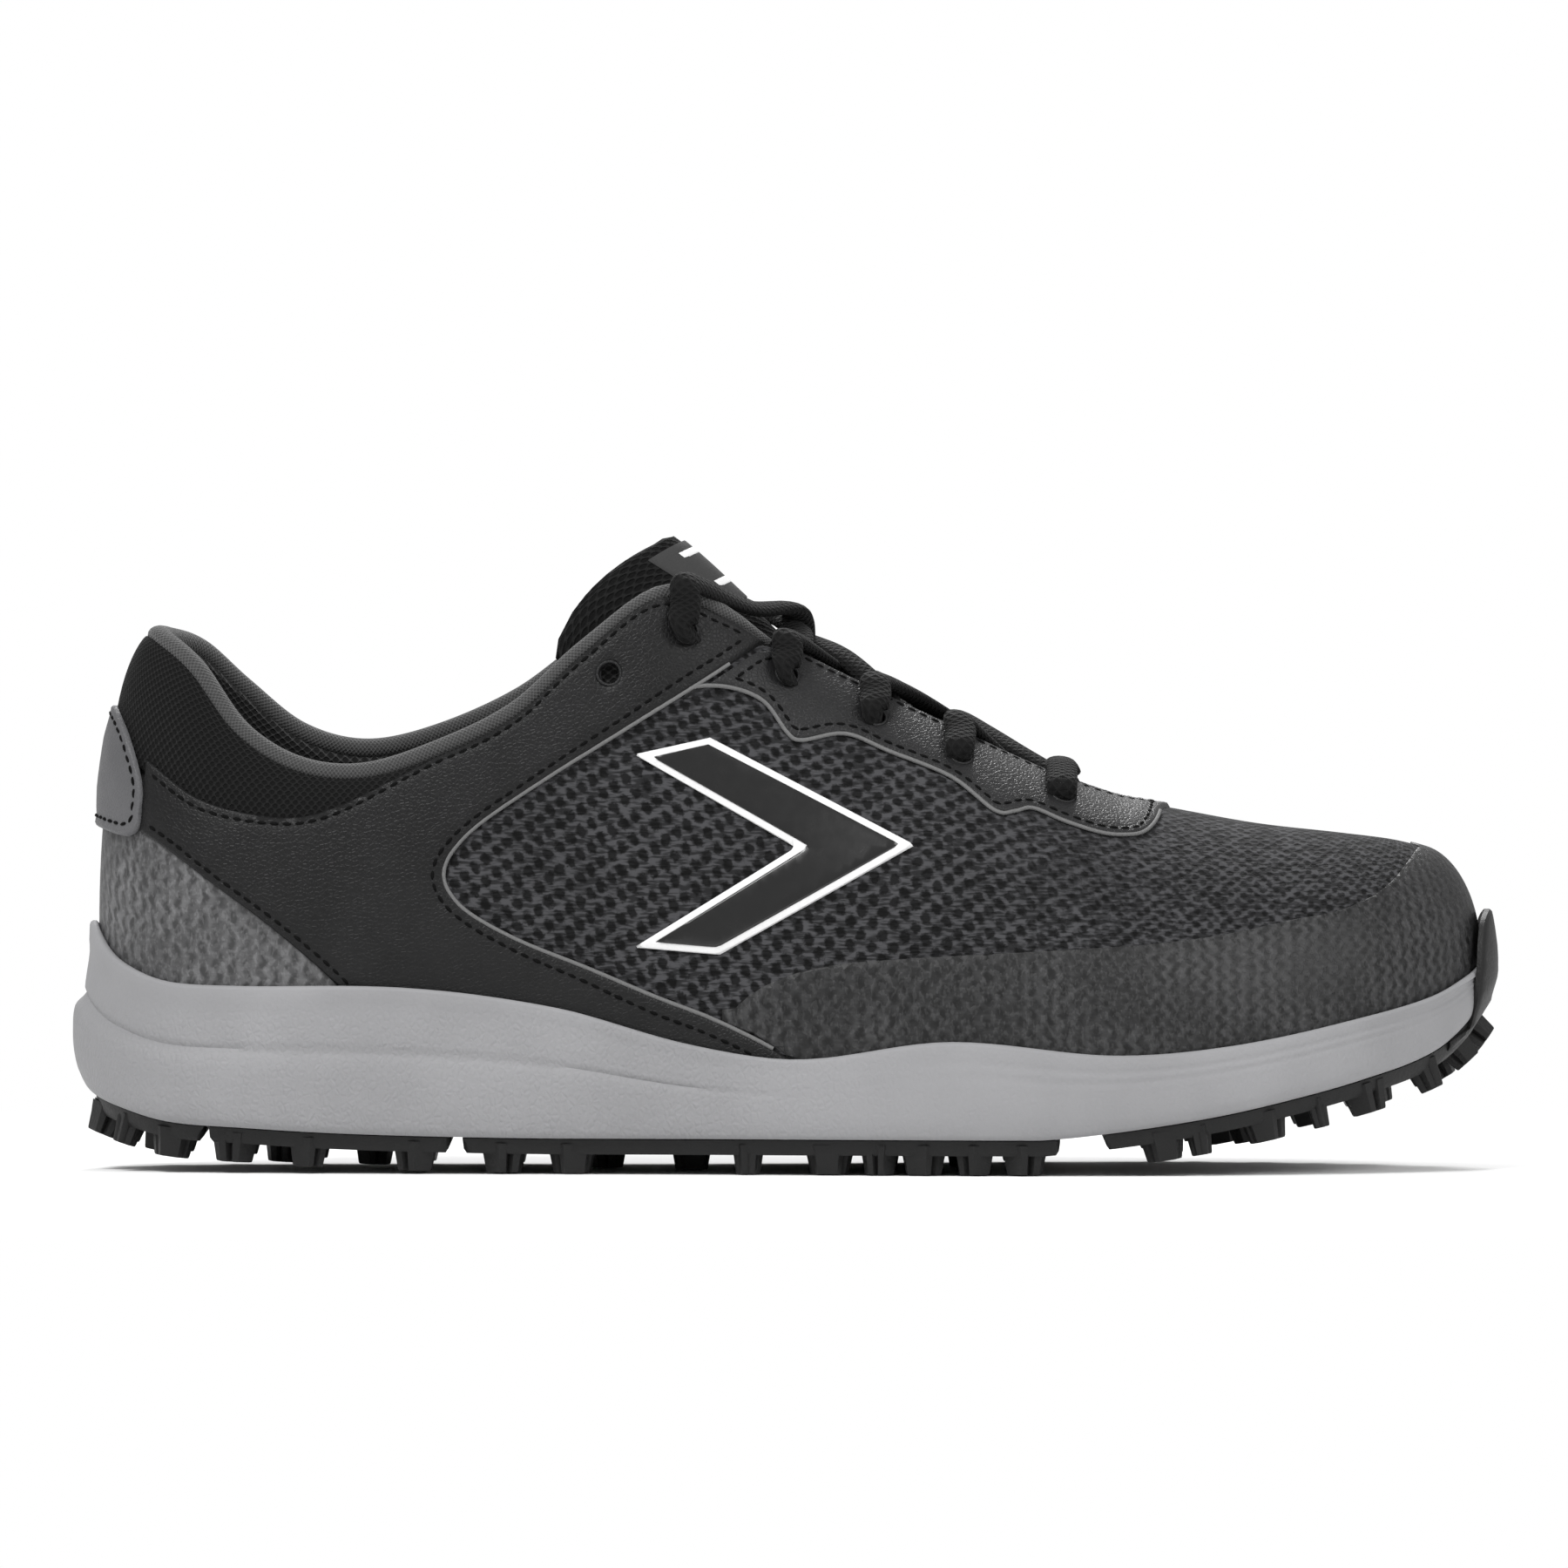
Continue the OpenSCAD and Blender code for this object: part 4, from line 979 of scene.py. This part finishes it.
def emblem(s, name):
    """Plain chevron in gloss black on a white base."""
    corners = np.array([[-16, 91.5], [27, 69], [-14, 46], [-32, 47.5], [2, 68.5], [-32, 88]])
    for part, poly, lo, hi, mat, nodes in (("base", corners, 0.02, 0.7, "white", ["emblem_" + name]),
                                           ("face", inset(corners, 1.45), 0.66, 1.05, "gloss", [])):
        outline = flat_of(spot(*resample(poly, 0.9, True).T, s))
        ob = sheet("emblem_" + part + "_" + name, M[mat], outline, lo, hi, 1.6, 0.35)
        on(ob, "rearfoot", "emblem_gloss", *nodes)


for s, name in ((-1, "lateral"), (1, "medial")):
    saddle(s, name)
    eyestay(s, name)
    for i, eyelet in enumerate(EYELETS):
        rim = circle_at(flat_of(spot(*eyelet, s)), 2.5, 32)
        rim_paths.append(laid(rim, 1.02 if i < 2 else 0.95))
    emblem(s, name)


# ---------------------------------------------------------------- collar and heel tab
def net_edges(q):
    return meets(q, SADDLE_TOP, -3.5), collar_t(q, 0.2)


def net_puff(P):
    q, t = qt_of(P)
    lo, hi = net_edges(q)
    share = np.clip((t - lo) / np.maximum(hi - lo, 0.01), 0, 1)
    return 0.9 * np.sin(np.pi * share)**0.7 * ramp(hi - lo, 0.02, 0.12)


def collar_net():
    end = float(station(-52))
    q = np.linspace(-end, end, 150)
    lows, highs = net_edges(q)
    loop = band(q, lows, np.maximum(highs, lows + 0.01))
    return sheet("collar_net_outer", M["mesh"], loop, -1.1, 0.0, 1.9, 0.7, relief=net_puff)


def collar_roll():
    end = float(station(COLLAR_X))
    q = np.arange(-end, end + 0.01, 0.9)
    t = 1 - ROLL / arc_len(q)
    thin = np.clip((end - np.abs(q)) / 5, 0.35, 1)**0.5
    roll = sweep(skin(q, t, -2.6), away(q, t), 2.25 * thin, 2.75 * thin, 18)
    return make("collar_roll", *roll, M["binding"], 60)


def heel_tab():
    q = np.linspace(-19.8, 19.8, 60)
    loop = smooth_line(resample(band(q, meets(q, TAB_LOW), meets(q, TAB_TOP)), 4.0, True), 5, True)

    def relief(P):
        d = near(P, resample(loop, 0.5, True))
        return groove(d, 2.2, 0.25, 0.6) + 0.35 * ramp(d, 3, 9)
    ring = [c for c in ring_in(resample(loop, 1.0, True), 2.2) if inside(loop, c[:1])[0]][0]
    stitch_paths.append(laid(resample(np.concatenate([ring, ring[:1]]), 0.6), 1.95))
    return sheet("heel_tab_leather", M["tab"], loop, 0.9, 2.1, 1.6, 0.8, relief=relief)


on(collar_net(), "rearfoot", "mesh_black", "collar_mesh")
on(collar_roll(), "rearfoot", "binding", "collar_binding")
on(heel_tab(), "rearfoot", "leather_grey", "heel_tab")

on(stitches("leather_stitching", stitch_paths, M["thread"]), "rearfoot", "leather_black")
edges = merged([sweep(C, N, 0.483, 0.42, 8) for C, N in edge_paths])
on(make("leather_cut_edges", *edges, M["edge"], 60), "rearfoot", "leather_black")
rims = merged([sweep(C, N, 0.32, 0.3, 8, True) for C, N in rim_paths])
on(make("eyelet_rims", *rims, M["stay"], 60), "rearfoot", "leather_black")


# ---------------------------------------------------------------- lining, board and sockliner
def lining_place(P, off):
    q, t = qt_of(P)
    toe_in = ramp(skin(q, t)[:, 0], 50, 70) * 1.1
    tuck = ramp(t, collar_t(q, 1.5), collar_t(q, -1.5)) * (1 - ramp(half(q), station(-16), station(-6)))
    return skin(q, t, -(depth(q, t) * (1 - tuck) + 3.6 * tuck + toe_in) - off)


def lining_half(s):
    """From under the roll down to the footbed, in one sheet with the vamp's lining."""
    q = mirrored(np.linspace(HEEL_SEAM, 180, 140), s)
    highs = np.where(half(q) > station(COLLAR_X), throat_t(q), collar_t(q, -1.6))
    holes = holes_for(s, 2.3, range(1, 6))
    return half_sheet(s, q, low_t(q), highs, 30, lining_place, 0.0, 0.95, 2.3, 0.6, holes)


def sole_loop(a, b, off, t=low_t, n=110):
    """Outline round the sole between two stations, seen from above."""
    q = np.linspace(a, b, n)
    return np.concatenate([skin(q, t(q), off)[:, :2], skin(-q, t(-q), off)[::-1, :2]])


def on_floor(base):
    return lambda P, off: np.stack([P[:, 0], P[:, 1], floor_z(P[:, 0]) + base + off], -1)


def sockliner():
    loop = sole_loop(8, 172, -5.2)

    def cupped(P):
        d = near(P, resample(loop, 1.0, True))
        return groove(d, 0, -0.55, 5) - 0.5 * ramp(d, 4, 16) * np.exp(-((P[:, 0] + 105) / 30)**2)
    pad = Pad(loop, on_floor(0.3 + BOARD_T), 0.0, SOCK_T - 0.6, 3.0, 1.5, relief=cupped)
    return build("removable_sockliner", [pad], M["sock"])


bends(build("shoe_lining", [lining_half(-1), lining_half(1)], M["lining"], 0.02),
      "lining", "quarter_lining", "vamp_lining")
board = Pad(sole_loop(7, 173, 0.4), on_floor(0.1), 0.0, BOARD_T, 4.0, 0.6)
bends(build("fibre_insole_board", [board], M["board"]), "board", "insole_board")
bends(sockliner(), "sockliner_foam", "sockliner")

# ---------------------------------------------------------------- midsole
WALL_PROFILE = [                                 # height share, offset at the heel, offset in front
    [0, 0.62, 0.72], [0.02, 0.80, 0.85], [0.08, 0.93, 0.93], [0.16, 0.99, 0.99], [0.26, 1.0, 1.0],
    [0.36, 0.98, 0.98], [0.44, 0.9, 0.95], [0.5, 0.74, 0.92], [0.545, 0.60, 0.90], [0.575, 0.585, 0.89],
    [0.62, 0.56, 0.86], [0.7, 0.50, 0.83], [0.78, 0.43, 0.78], [0.84, 0.40, 0.74], [0.9, 0.42, 0.70]]


def wall_ring(q, off, z):
    p = skin(q, 0.0, off)
    return np.stack([p[:, 0], p[:, 1], z], -1)


def midsole(n=240):
    """Rings of n points from the ground side up the wall, over the lip and down inside, with two caps."""
    q = np.arange(n) * 360 / n
    x, _, lip_z = foot(q).T
    w = WALL_OUT * curve(wall, half(q))
    front = np.clip(half(q) / 90, 0, 1)
    lip_in = 0.5 + 0.75 * ramp(x, -104, -92) * (1 - ramp(x, 2, 10))
    lip_out = np.maximum(lip_in + 1.7, (0.38 + 0.24 * front) * w)
    rings = []
    for u in np.concatenate([[0, 0.008, 0.03], np.linspace(0.06, 0.9, 26)]):
        o = w * (curve(WALL_PROFILE, u, 1) * (1 - front) + curve(WALL_PROFILE, u, 2) * front)
        z = ground_z(skin(q, 0.0, o)[:, 0]) + SOLE_H
        o = o + groove(u, 0.56, 0.55, 0.022) * (1 - ramp(x, -30, 12))
        o = o + (groove(u, 0.80, 0.22, 0.03) + groove(u, 0.66, 0.176, 0.03)) * ramp(x, 20, 60)
        to_lip = ramp(u, 0.8, 0.95)
        o = o * (1 - to_lip) + np.minimum(o, lip_out + 0.7) * to_lip
        rings.append(wall_ring(q, o, z + (lip_z - z) * u))
    rings.append(wall_ring(q, lip_out + 0.12, lip_z - 0.5))
    for share, dz in ((1, 0.05), (0.65, 0.4), (0.25, 0.35), (0, -0.1)):
        out = lip_out - 0.1 if share == 1 else lip_out * share + lip_in * (1 - share)
        rings.append(wall_ring(q, out, lip_z + dz))
    rings.append(wall_ring(q, lip_in, (lip_z + floor_z(x)) * 0.5))
    rings.append(wall_ring(q, lip_in, floor_z(x)))
    F = [[j + i, j + (i + 1) % n, j + n + (i + 1) % n, j + n + i]
         for j in range(0, (len(rings) - 1) * n, n) for i in range(n)]
    for k in (0, (len(rings) - 1) * n):
        for i in range(n // 2):
            F.append(list(dict.fromkeys([k + i, k + i + 1, k + (n - i - 1) % n, k + (n - i) % n])))
    return make("midsole_foam_body", np.concatenate(rings), F, None, M["foam"], 55)


bends(midsole(), "foam_grey", "midsole_rear", "midsole_fore")


# ---------------------------------------------------------------- outsole
def under(P, off):
    return np.stack([P[:, 0], P[:, 1], ground_z(P[:, 0]) + SOLE_H - 0.25 - off], -1)


def lug(x, y, width, twist, lobes=3, notch=0.26):
    """Tapered lug with notches down its sides, standing on the ground line."""
    rings = [(1.14, 2.2), (1.05, 0.7), (0.98, -0.4), (0.84, 0.45 - LUG_H), (0.80, 0.08 - LUG_H), (0.70, -LUG_H)]
    deg, r = [], []
    for c in range(6):
        deg.append(60 * c)
        r.append(1.0)
        if c % 2 == 0 or lobes > 3:
            deg += [60 * c + 19, 60 * c + 30, 60 * c + 41]
            r += [0.885, 0.885 - notch, 0.885]
    ang, r = np.radians(deg) + twist, np.array(r)
    ground = float(ground_z(x))
    slope = math.atan(float(ground_z(x + 2) - ground_z(x - 2)) / 4)
    V = []
    for k, z in rings:
        px, py = [turned * r * width / 2 * k for turned in (np.cos(ang), np.sin(ang))]
        V.append(np.stack([x + px * math.cos(slope) - z * math.sin(slope), y + py,
                           ground + LUG_H + px * math.sin(slope) + z * math.cos(slope)], -1))
    V.append(np.array([[x + LUG_H * math.sin(slope), y, ground + LUG_H * (1 - math.cos(slope))]]))
    n, tip = len(ang), (len(rings) - 1) * len(ang)
    F = [[j + i, j + (i + 1) % n, j + n + (i + 1) % n, j + n + i] for j in range(0, tip, n) for i in range(n)]
    F += [[tip + i, tip + (i + 1) % n, tip + n] for i in range(n)]
    F.append(list(range(n)))
    return np.concatenate(V), F, None


def plate(name, a, b, *extra):
    """Rubber plate with the lugs that stand on it."""
    pad = Pad(sole_loop(a, b, 1.5, np.zeros_like, 120), under, 0.0, PLATE_T - 0.25, 2.8, 0.9)
    parts = [(pad.V, pad.faces, None)]
    x0, x1 = foot(a)[0], foot(b)[0]
    for i, (x, width) in enumerate(EDGE_LUGS):
        for s in (1, -1) if x0 < x < x1 else ():
            y = foot(mirrored(float(station(x)), s))[1] - s * (width * 0.5 - 1.5)
            shape = (3, 0.3) if width > 7 else (4, 0.12)
            parts.append(lug(x, y, width, 0.9 * i + (s > 0), *shape))
    for i, (x, y) in enumerate(INNER_LUGS):
        if x0 < x < x1:
            parts.append(lug(x, y, 8.3, 1.3 * i))
    return make(name, *merged(parts + list(extra)), M["rubber"], 38)


def bumper():
    """Rubber that turns up in front of the toe, from the plate to above the midsole's lip."""
    q = np.linspace(161, 199, 60)
    x, _, lip_z = foot(q).T
    z0 = ground_z(x + 1) + LUG_H + 0.8
    rise = 12.6 * np.clip(1 - ((q - 180) / 12)**6, -0.6, 1) - 4
    z1 = np.maximum(lip_z + 1 + np.maximum(-14.0, rise), z0 + 0.6)
    U = np.interp(q, _q, _u)
    loop = np.concatenate([np.stack([U, z0], -1), np.stack([U, z1], -1)[::-1]])

    def place(P, off):
        q, z = np.interp(P[:, 0], _u, _q), P[:, 1]
        x, _, lip_z = foot(q).T
        z0 = ground_z(x + 1) + LUG_H + 0.8
        low = wall_ring(q, off + 1.0 + 1.5 * ramp(z, z0, z0 + 7), z)
        up = skin(q, at_height(q, z), off + 2.3)
        k = ramp(z, lip_z - 1, lip_z + 5)[:, None]
        return low * (1 - k) + up * k
    pad = Pad(loop, place, 0.0, 1.5, 1.5, 0.8)
    return pad.V, pad.faces, None


on(plate("outsole_plate_heel", 5.0, float(station(-122))), "rearfoot", "rubber_black", "outsole_heel")
on(plate("outsole_plate_rear", float(station(-121)), float(station(-70.7))),
   "rearfoot", "rubber_black", "outsole_rearfoot")
bends(plate("outsole_plate_mid", float(station(-68)), float(station(57.4))), "rubber_black", "outsole_midfoot")
bends(plate("outsole_plate_toe", float(station(66.8)), 172.0, bumper()), "rubber_black", "outsole_toe")


# ---------------------------------------------------------------- tongue
def tongue_at(P, off):
    """x along the tongue, y across its flat width, off above its outer face."""
    x, v = P[:, 0], P[:, 1] / TONGUE_HALF
    a = np.arctan((curve(TONGUE, x + 1, 1) - curve(TONGUE, x - 1, 1)) / 2)
    back = 21.5 * (1 - ramp(x, -27, 12)) * (1 - (1 - np.minimum(1, v * v))**2)
    return np.stack([x - off * np.sin(a) - back, v * curve(TONGUE, x, 2) + curve(CENTRE, x),
                     curve(TONGUE, x, 1) - curve(TONGUE, x, 3) * np.abs(v)**2.2 + off * np.cos(a)], -1)


def tongue_uv(P):
    return np.stack([P[:, 1] / TONGUE_HALF * curve(TONGUE, P[:, 0], 2), P[:, 0] * 1.25], -1)


def tongue_mid(P):
    """Offset of the middle between the two faces."""
    return -0.5 * curve(TONGUE, P[:, 0], 4) * (1 - 0.55 * np.abs(P[:, 1] / TONGUE_HALF)**2)


def tongue_relief(P):
    return groove(P[:, 0], 4, 0.3, 1.2) + groove(np.abs(P[:, 1]), 13.5, 0.25, 0.9)


def tongue_strip(x0, x1, v, n):
    """Loop from x0 to x1 and v to each side."""
    xs = np.linspace(x0, x1, n)
    return np.concatenate([np.stack([xs, np.full(n, -v)], -1), np.stack([xs[::-1], np.full(n, v)], -1)])


def tongue_pad(h=2.2, edge=3.2):
    """Padded form, with two faces that are round towards a rim half way between them."""
    loop = smooth_line(resample(tongue_strip(-27, 76, 17.6, 60), 5.0, True), 5, True)
    up = Pad(loop, tongue_at, tongue_mid, 0.0, h, edge, uv=tongue_uv, relief=tongue_relief)
    d = near(up.P, resample(loop, 0.3, True))
    lower = tongue_at(up.P, tongue_mid(up.P) * (1 + round_edge(d, edge)))
    V, F, uv = two_faced(tongue_at(up.P, up.off), lower, up.F, d < 1e-3, tongue_uv(up.P))
    return make("tongue_pad", V, F, uv, M["tongue"], 60)


tongue = tongue_pad()
on(tongue, "tongue", "mesh_black", "tongue")
for name, x0, x1, v, lo, hi, mat, slot, nodes in (
        ("tongue_label_patch", -22, -8.5, 8.0, 0.1, 0.6, "label", "leather_black", ["tongue_label"]),
        ("tongue_label_bar_upper", -20.2, -18.8, 5.0, 0.55, 0.68, "mark", "webbing", []),
        ("tongue_label_bar_lower", -13.4, -12.0, 5.0, 0.55, 0.68, "mark", "webbing", []),
        ("lace_keeper_loop", 16, 20, 5.5, 0.2, 0.9, "web", "webbing", ["lace_keeper"])):
    pad = Pad(tongue_strip(x0, x1, v, 12), tongue_at, lo, hi, 1.5, 0.35, uv=tongue_uv)
    on(build(name, [pad], M[mat]), "tongue", slot, *nodes)


# ---------------------------------------------------------------- lace
def hook(i, s, off):
    """Point at eyelet i of side s, off above the surface."""
    return skin(*spot(*EYELETS[i], s), off)


def under_edge(i, s):
    return skin(spot(*EYELETS[i], s)[0], 0.99, -5.0)


def over_edge(i, s):
    q, t = spot(*EYELETS[i], s)
    return [skin(q, 1.0, 3.3), skin(q, t * 0.55 + 0.45, 3.3)]


def crossing(i, s):
    """Middle of the strand from eyelet i, over or under the strand of the other side."""
    x, z = CROSSINGS[i - 2]
    over = s * (1 if i % 2 == 0 else -1) > 0
    out = [np.array([x, 0.0, z + (3.2 if over else -0.6)])]
    if i == 2:
        out.append(np.array([-8.0, -s * 12.5, 118.6]))
    return out


def turn_points(i, s):
    return [hook(i, s, 3.2), hook(i, s, 0.8), hook(i, s, -2.5), hook(i, s, -5.0) - [0, s * 0.6, 0]]


def tail(s):
    return [hook(1, s, -6.0) + [-2, 0, -7], hook(1, s, -7.0) + [-5, 0, -16], hook(1, s, -7.0) + [-9, s, -26]]


def strand(s, i=5):
    """Half of the route, from the front eyelet up to the tucked end."""
    if i == 1:
        return turn_points(1, s) + tail(s)
    return (turn_points(i, s) + [under_edge(i, s), under_edge(i, s) + [0.5, -s * 3.4, 4.4]]
            + crossing(i, s) + over_edge(i - 1, -s) + strand(-s, i - 1))


def evened(P):
    P[1:-1] = 0.25 * P[:-2] + 0.5 * P[1:-1] + 0.25 * P[2:]


def lace():
    bar = np.array([EYELETS[5][0] + 1, 0.5, 84])
    route = np.array(strand(-1)[::-1] + over_edge(5, -1)[::-1] + [bar] + over_edge(5, 1) + strand(1))
    C = resample(smooth_line(route, 10), 0.8)
    for _ in range(2):
        evened(C)
    N = C - np.stack([C[:, 0] * 0.98, C[:, 1] * 0.25, C[:, 2] - 18], -1)
    T = frames(C, N)[0]
    N -= (N * T).sum(1, keepdims=True) * T
    for _ in range(14):
        evened(N)
        N = frames(C, N)[1]
    return make("lace_cord_oval", *sweep(C, N, 3.25, 1.5, 18), M["lace"], 70)


on(lace(), "rearfoot", "lace_cord", "lace")

# ---------------------------------------------------------------- CAD nodes that stay
for node, key in (("collar_foam", "pad"), ("heel_counter", "stiff"), ("toe_puff", "stiff"),
                  ("aglet_lateral", "gloss"), ("aglet_medial", "gloss")):
    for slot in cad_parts[node].material_slots:
        slot.material = M[key]


# ---------------------------------------------------------------- floor, light and camera
def paper_floor(half_side=9, z=-0.0002):
    """Pale paper that fades into the white surroundings a little way from the shoe."""
    corners = [(x * half_side, y * half_side, z) for x, y in ((-1, -1), (1, -1), (1, 1), (-1, 1))]
    me = bpy.data.meshes.new("floor")
    me.from_pydata(corners, [], [(0, 1, 2, 3)])
    floor = bpy.data.objects.new("floor", me)
    bpy.context.scene.collection.objects.link(floor)
    pale = Material("pale_floor", 0.9, 0.1)
    pale.bsdf.inputs["Base Color"].default_value = (0.93, 0.93, 0.93, 1)
    x, y, _ = pale.place()
    fade = pale.node("MixShader", Fac=(x * x * 0.6 + y * y).pow(0.5).step(90.0, 420.0))
    pale.tree.links.new(pale.bsdf.outputs[0], fade.inputs[1])
    pale.tree.links.new(pale.node("Emission").outputs[0], fade.inputs[2])
    pale.tree.links.new(fade.outputs[0], pale.tree.nodes["Material Output"].inputs["Surface"])
    me.materials.append(pale.mat)
    return floor


def white_world(shown=1.0, light=0.6):
    """White surroundings, which light the shoe less than they show."""
    world = bpy.data.worlds.new("studio")
    world.use_nodes = True
    tree = world.node_tree
    sky = tree.nodes["Background"]
    sky.inputs[0].default_value = (1, 1, 1, 1)
    ray = tree.nodes.new("ShaderNodeLightPath")
    level = tree.nodes.new("ShaderNodeMapRange")
    level.inputs["To Min"].default_value, level.inputs["To Max"].default_value = light, shown
    tree.links.new(ray.outputs["Is Camera Ray"], level.inputs["Value"])
    tree.links.new(level.outputs["Result"], sky.inputs[1])
    return world


def lamp(name, where, to, size, power):
    data = bpy.data.lights.new(name, "AREA")
    data.shape = "DISK"
    data.size, data.energy = size, power
    o = bpy.data.objects.new(name, data)
    o.location = where
    bpy.context.scene.collection.objects.link(o)
    o.rotation_euler = (Vector(to) - Vector(where)).to_track_quat("-Z", "Y").to_euler()


def camera(dist=5.0, wide=0.3317, x=-0.0005, aim=0.0812, elev=math.radians(1.0)):
    """Camera that far in front of the shoe, seeing so wide a stretch of it, and looking slightly down."""
    cam = bpy.data.cameras.new("camera")
    ob = bpy.data.objects.new("camera", cam)
    bpy.context.scene.collection.objects.link(ob)
    ob.location = (x, -dist * math.cos(elev), aim + dist * math.sin(elev))
    ob.rotation_euler = (math.radians(90) - elev, 0, 0)
    cam.sensor_width = 36
    cam.lens = cam.sensor_width * dist / wide
    cam.clip_start, cam.clip_end = 0.05, 30
    return ob


paper_floor()
bpy.context.scene.world = white_world()
bpy.context.scene.view_settings.view_transform = "Standard"
lamp("key_light", (-0.5, -0.75, 1.15), (0, 0, 0.05), 0.6, 15)
lamp("fill_light", (0.8, -0.7, 0.75), (0, 0, 0.05), 0.6, 5)
lamp("rim_light", (0.0, 0.9, 0.95), (0, 0, 0.08), 0.5, 10)
bpy.context.scene.camera = camera()
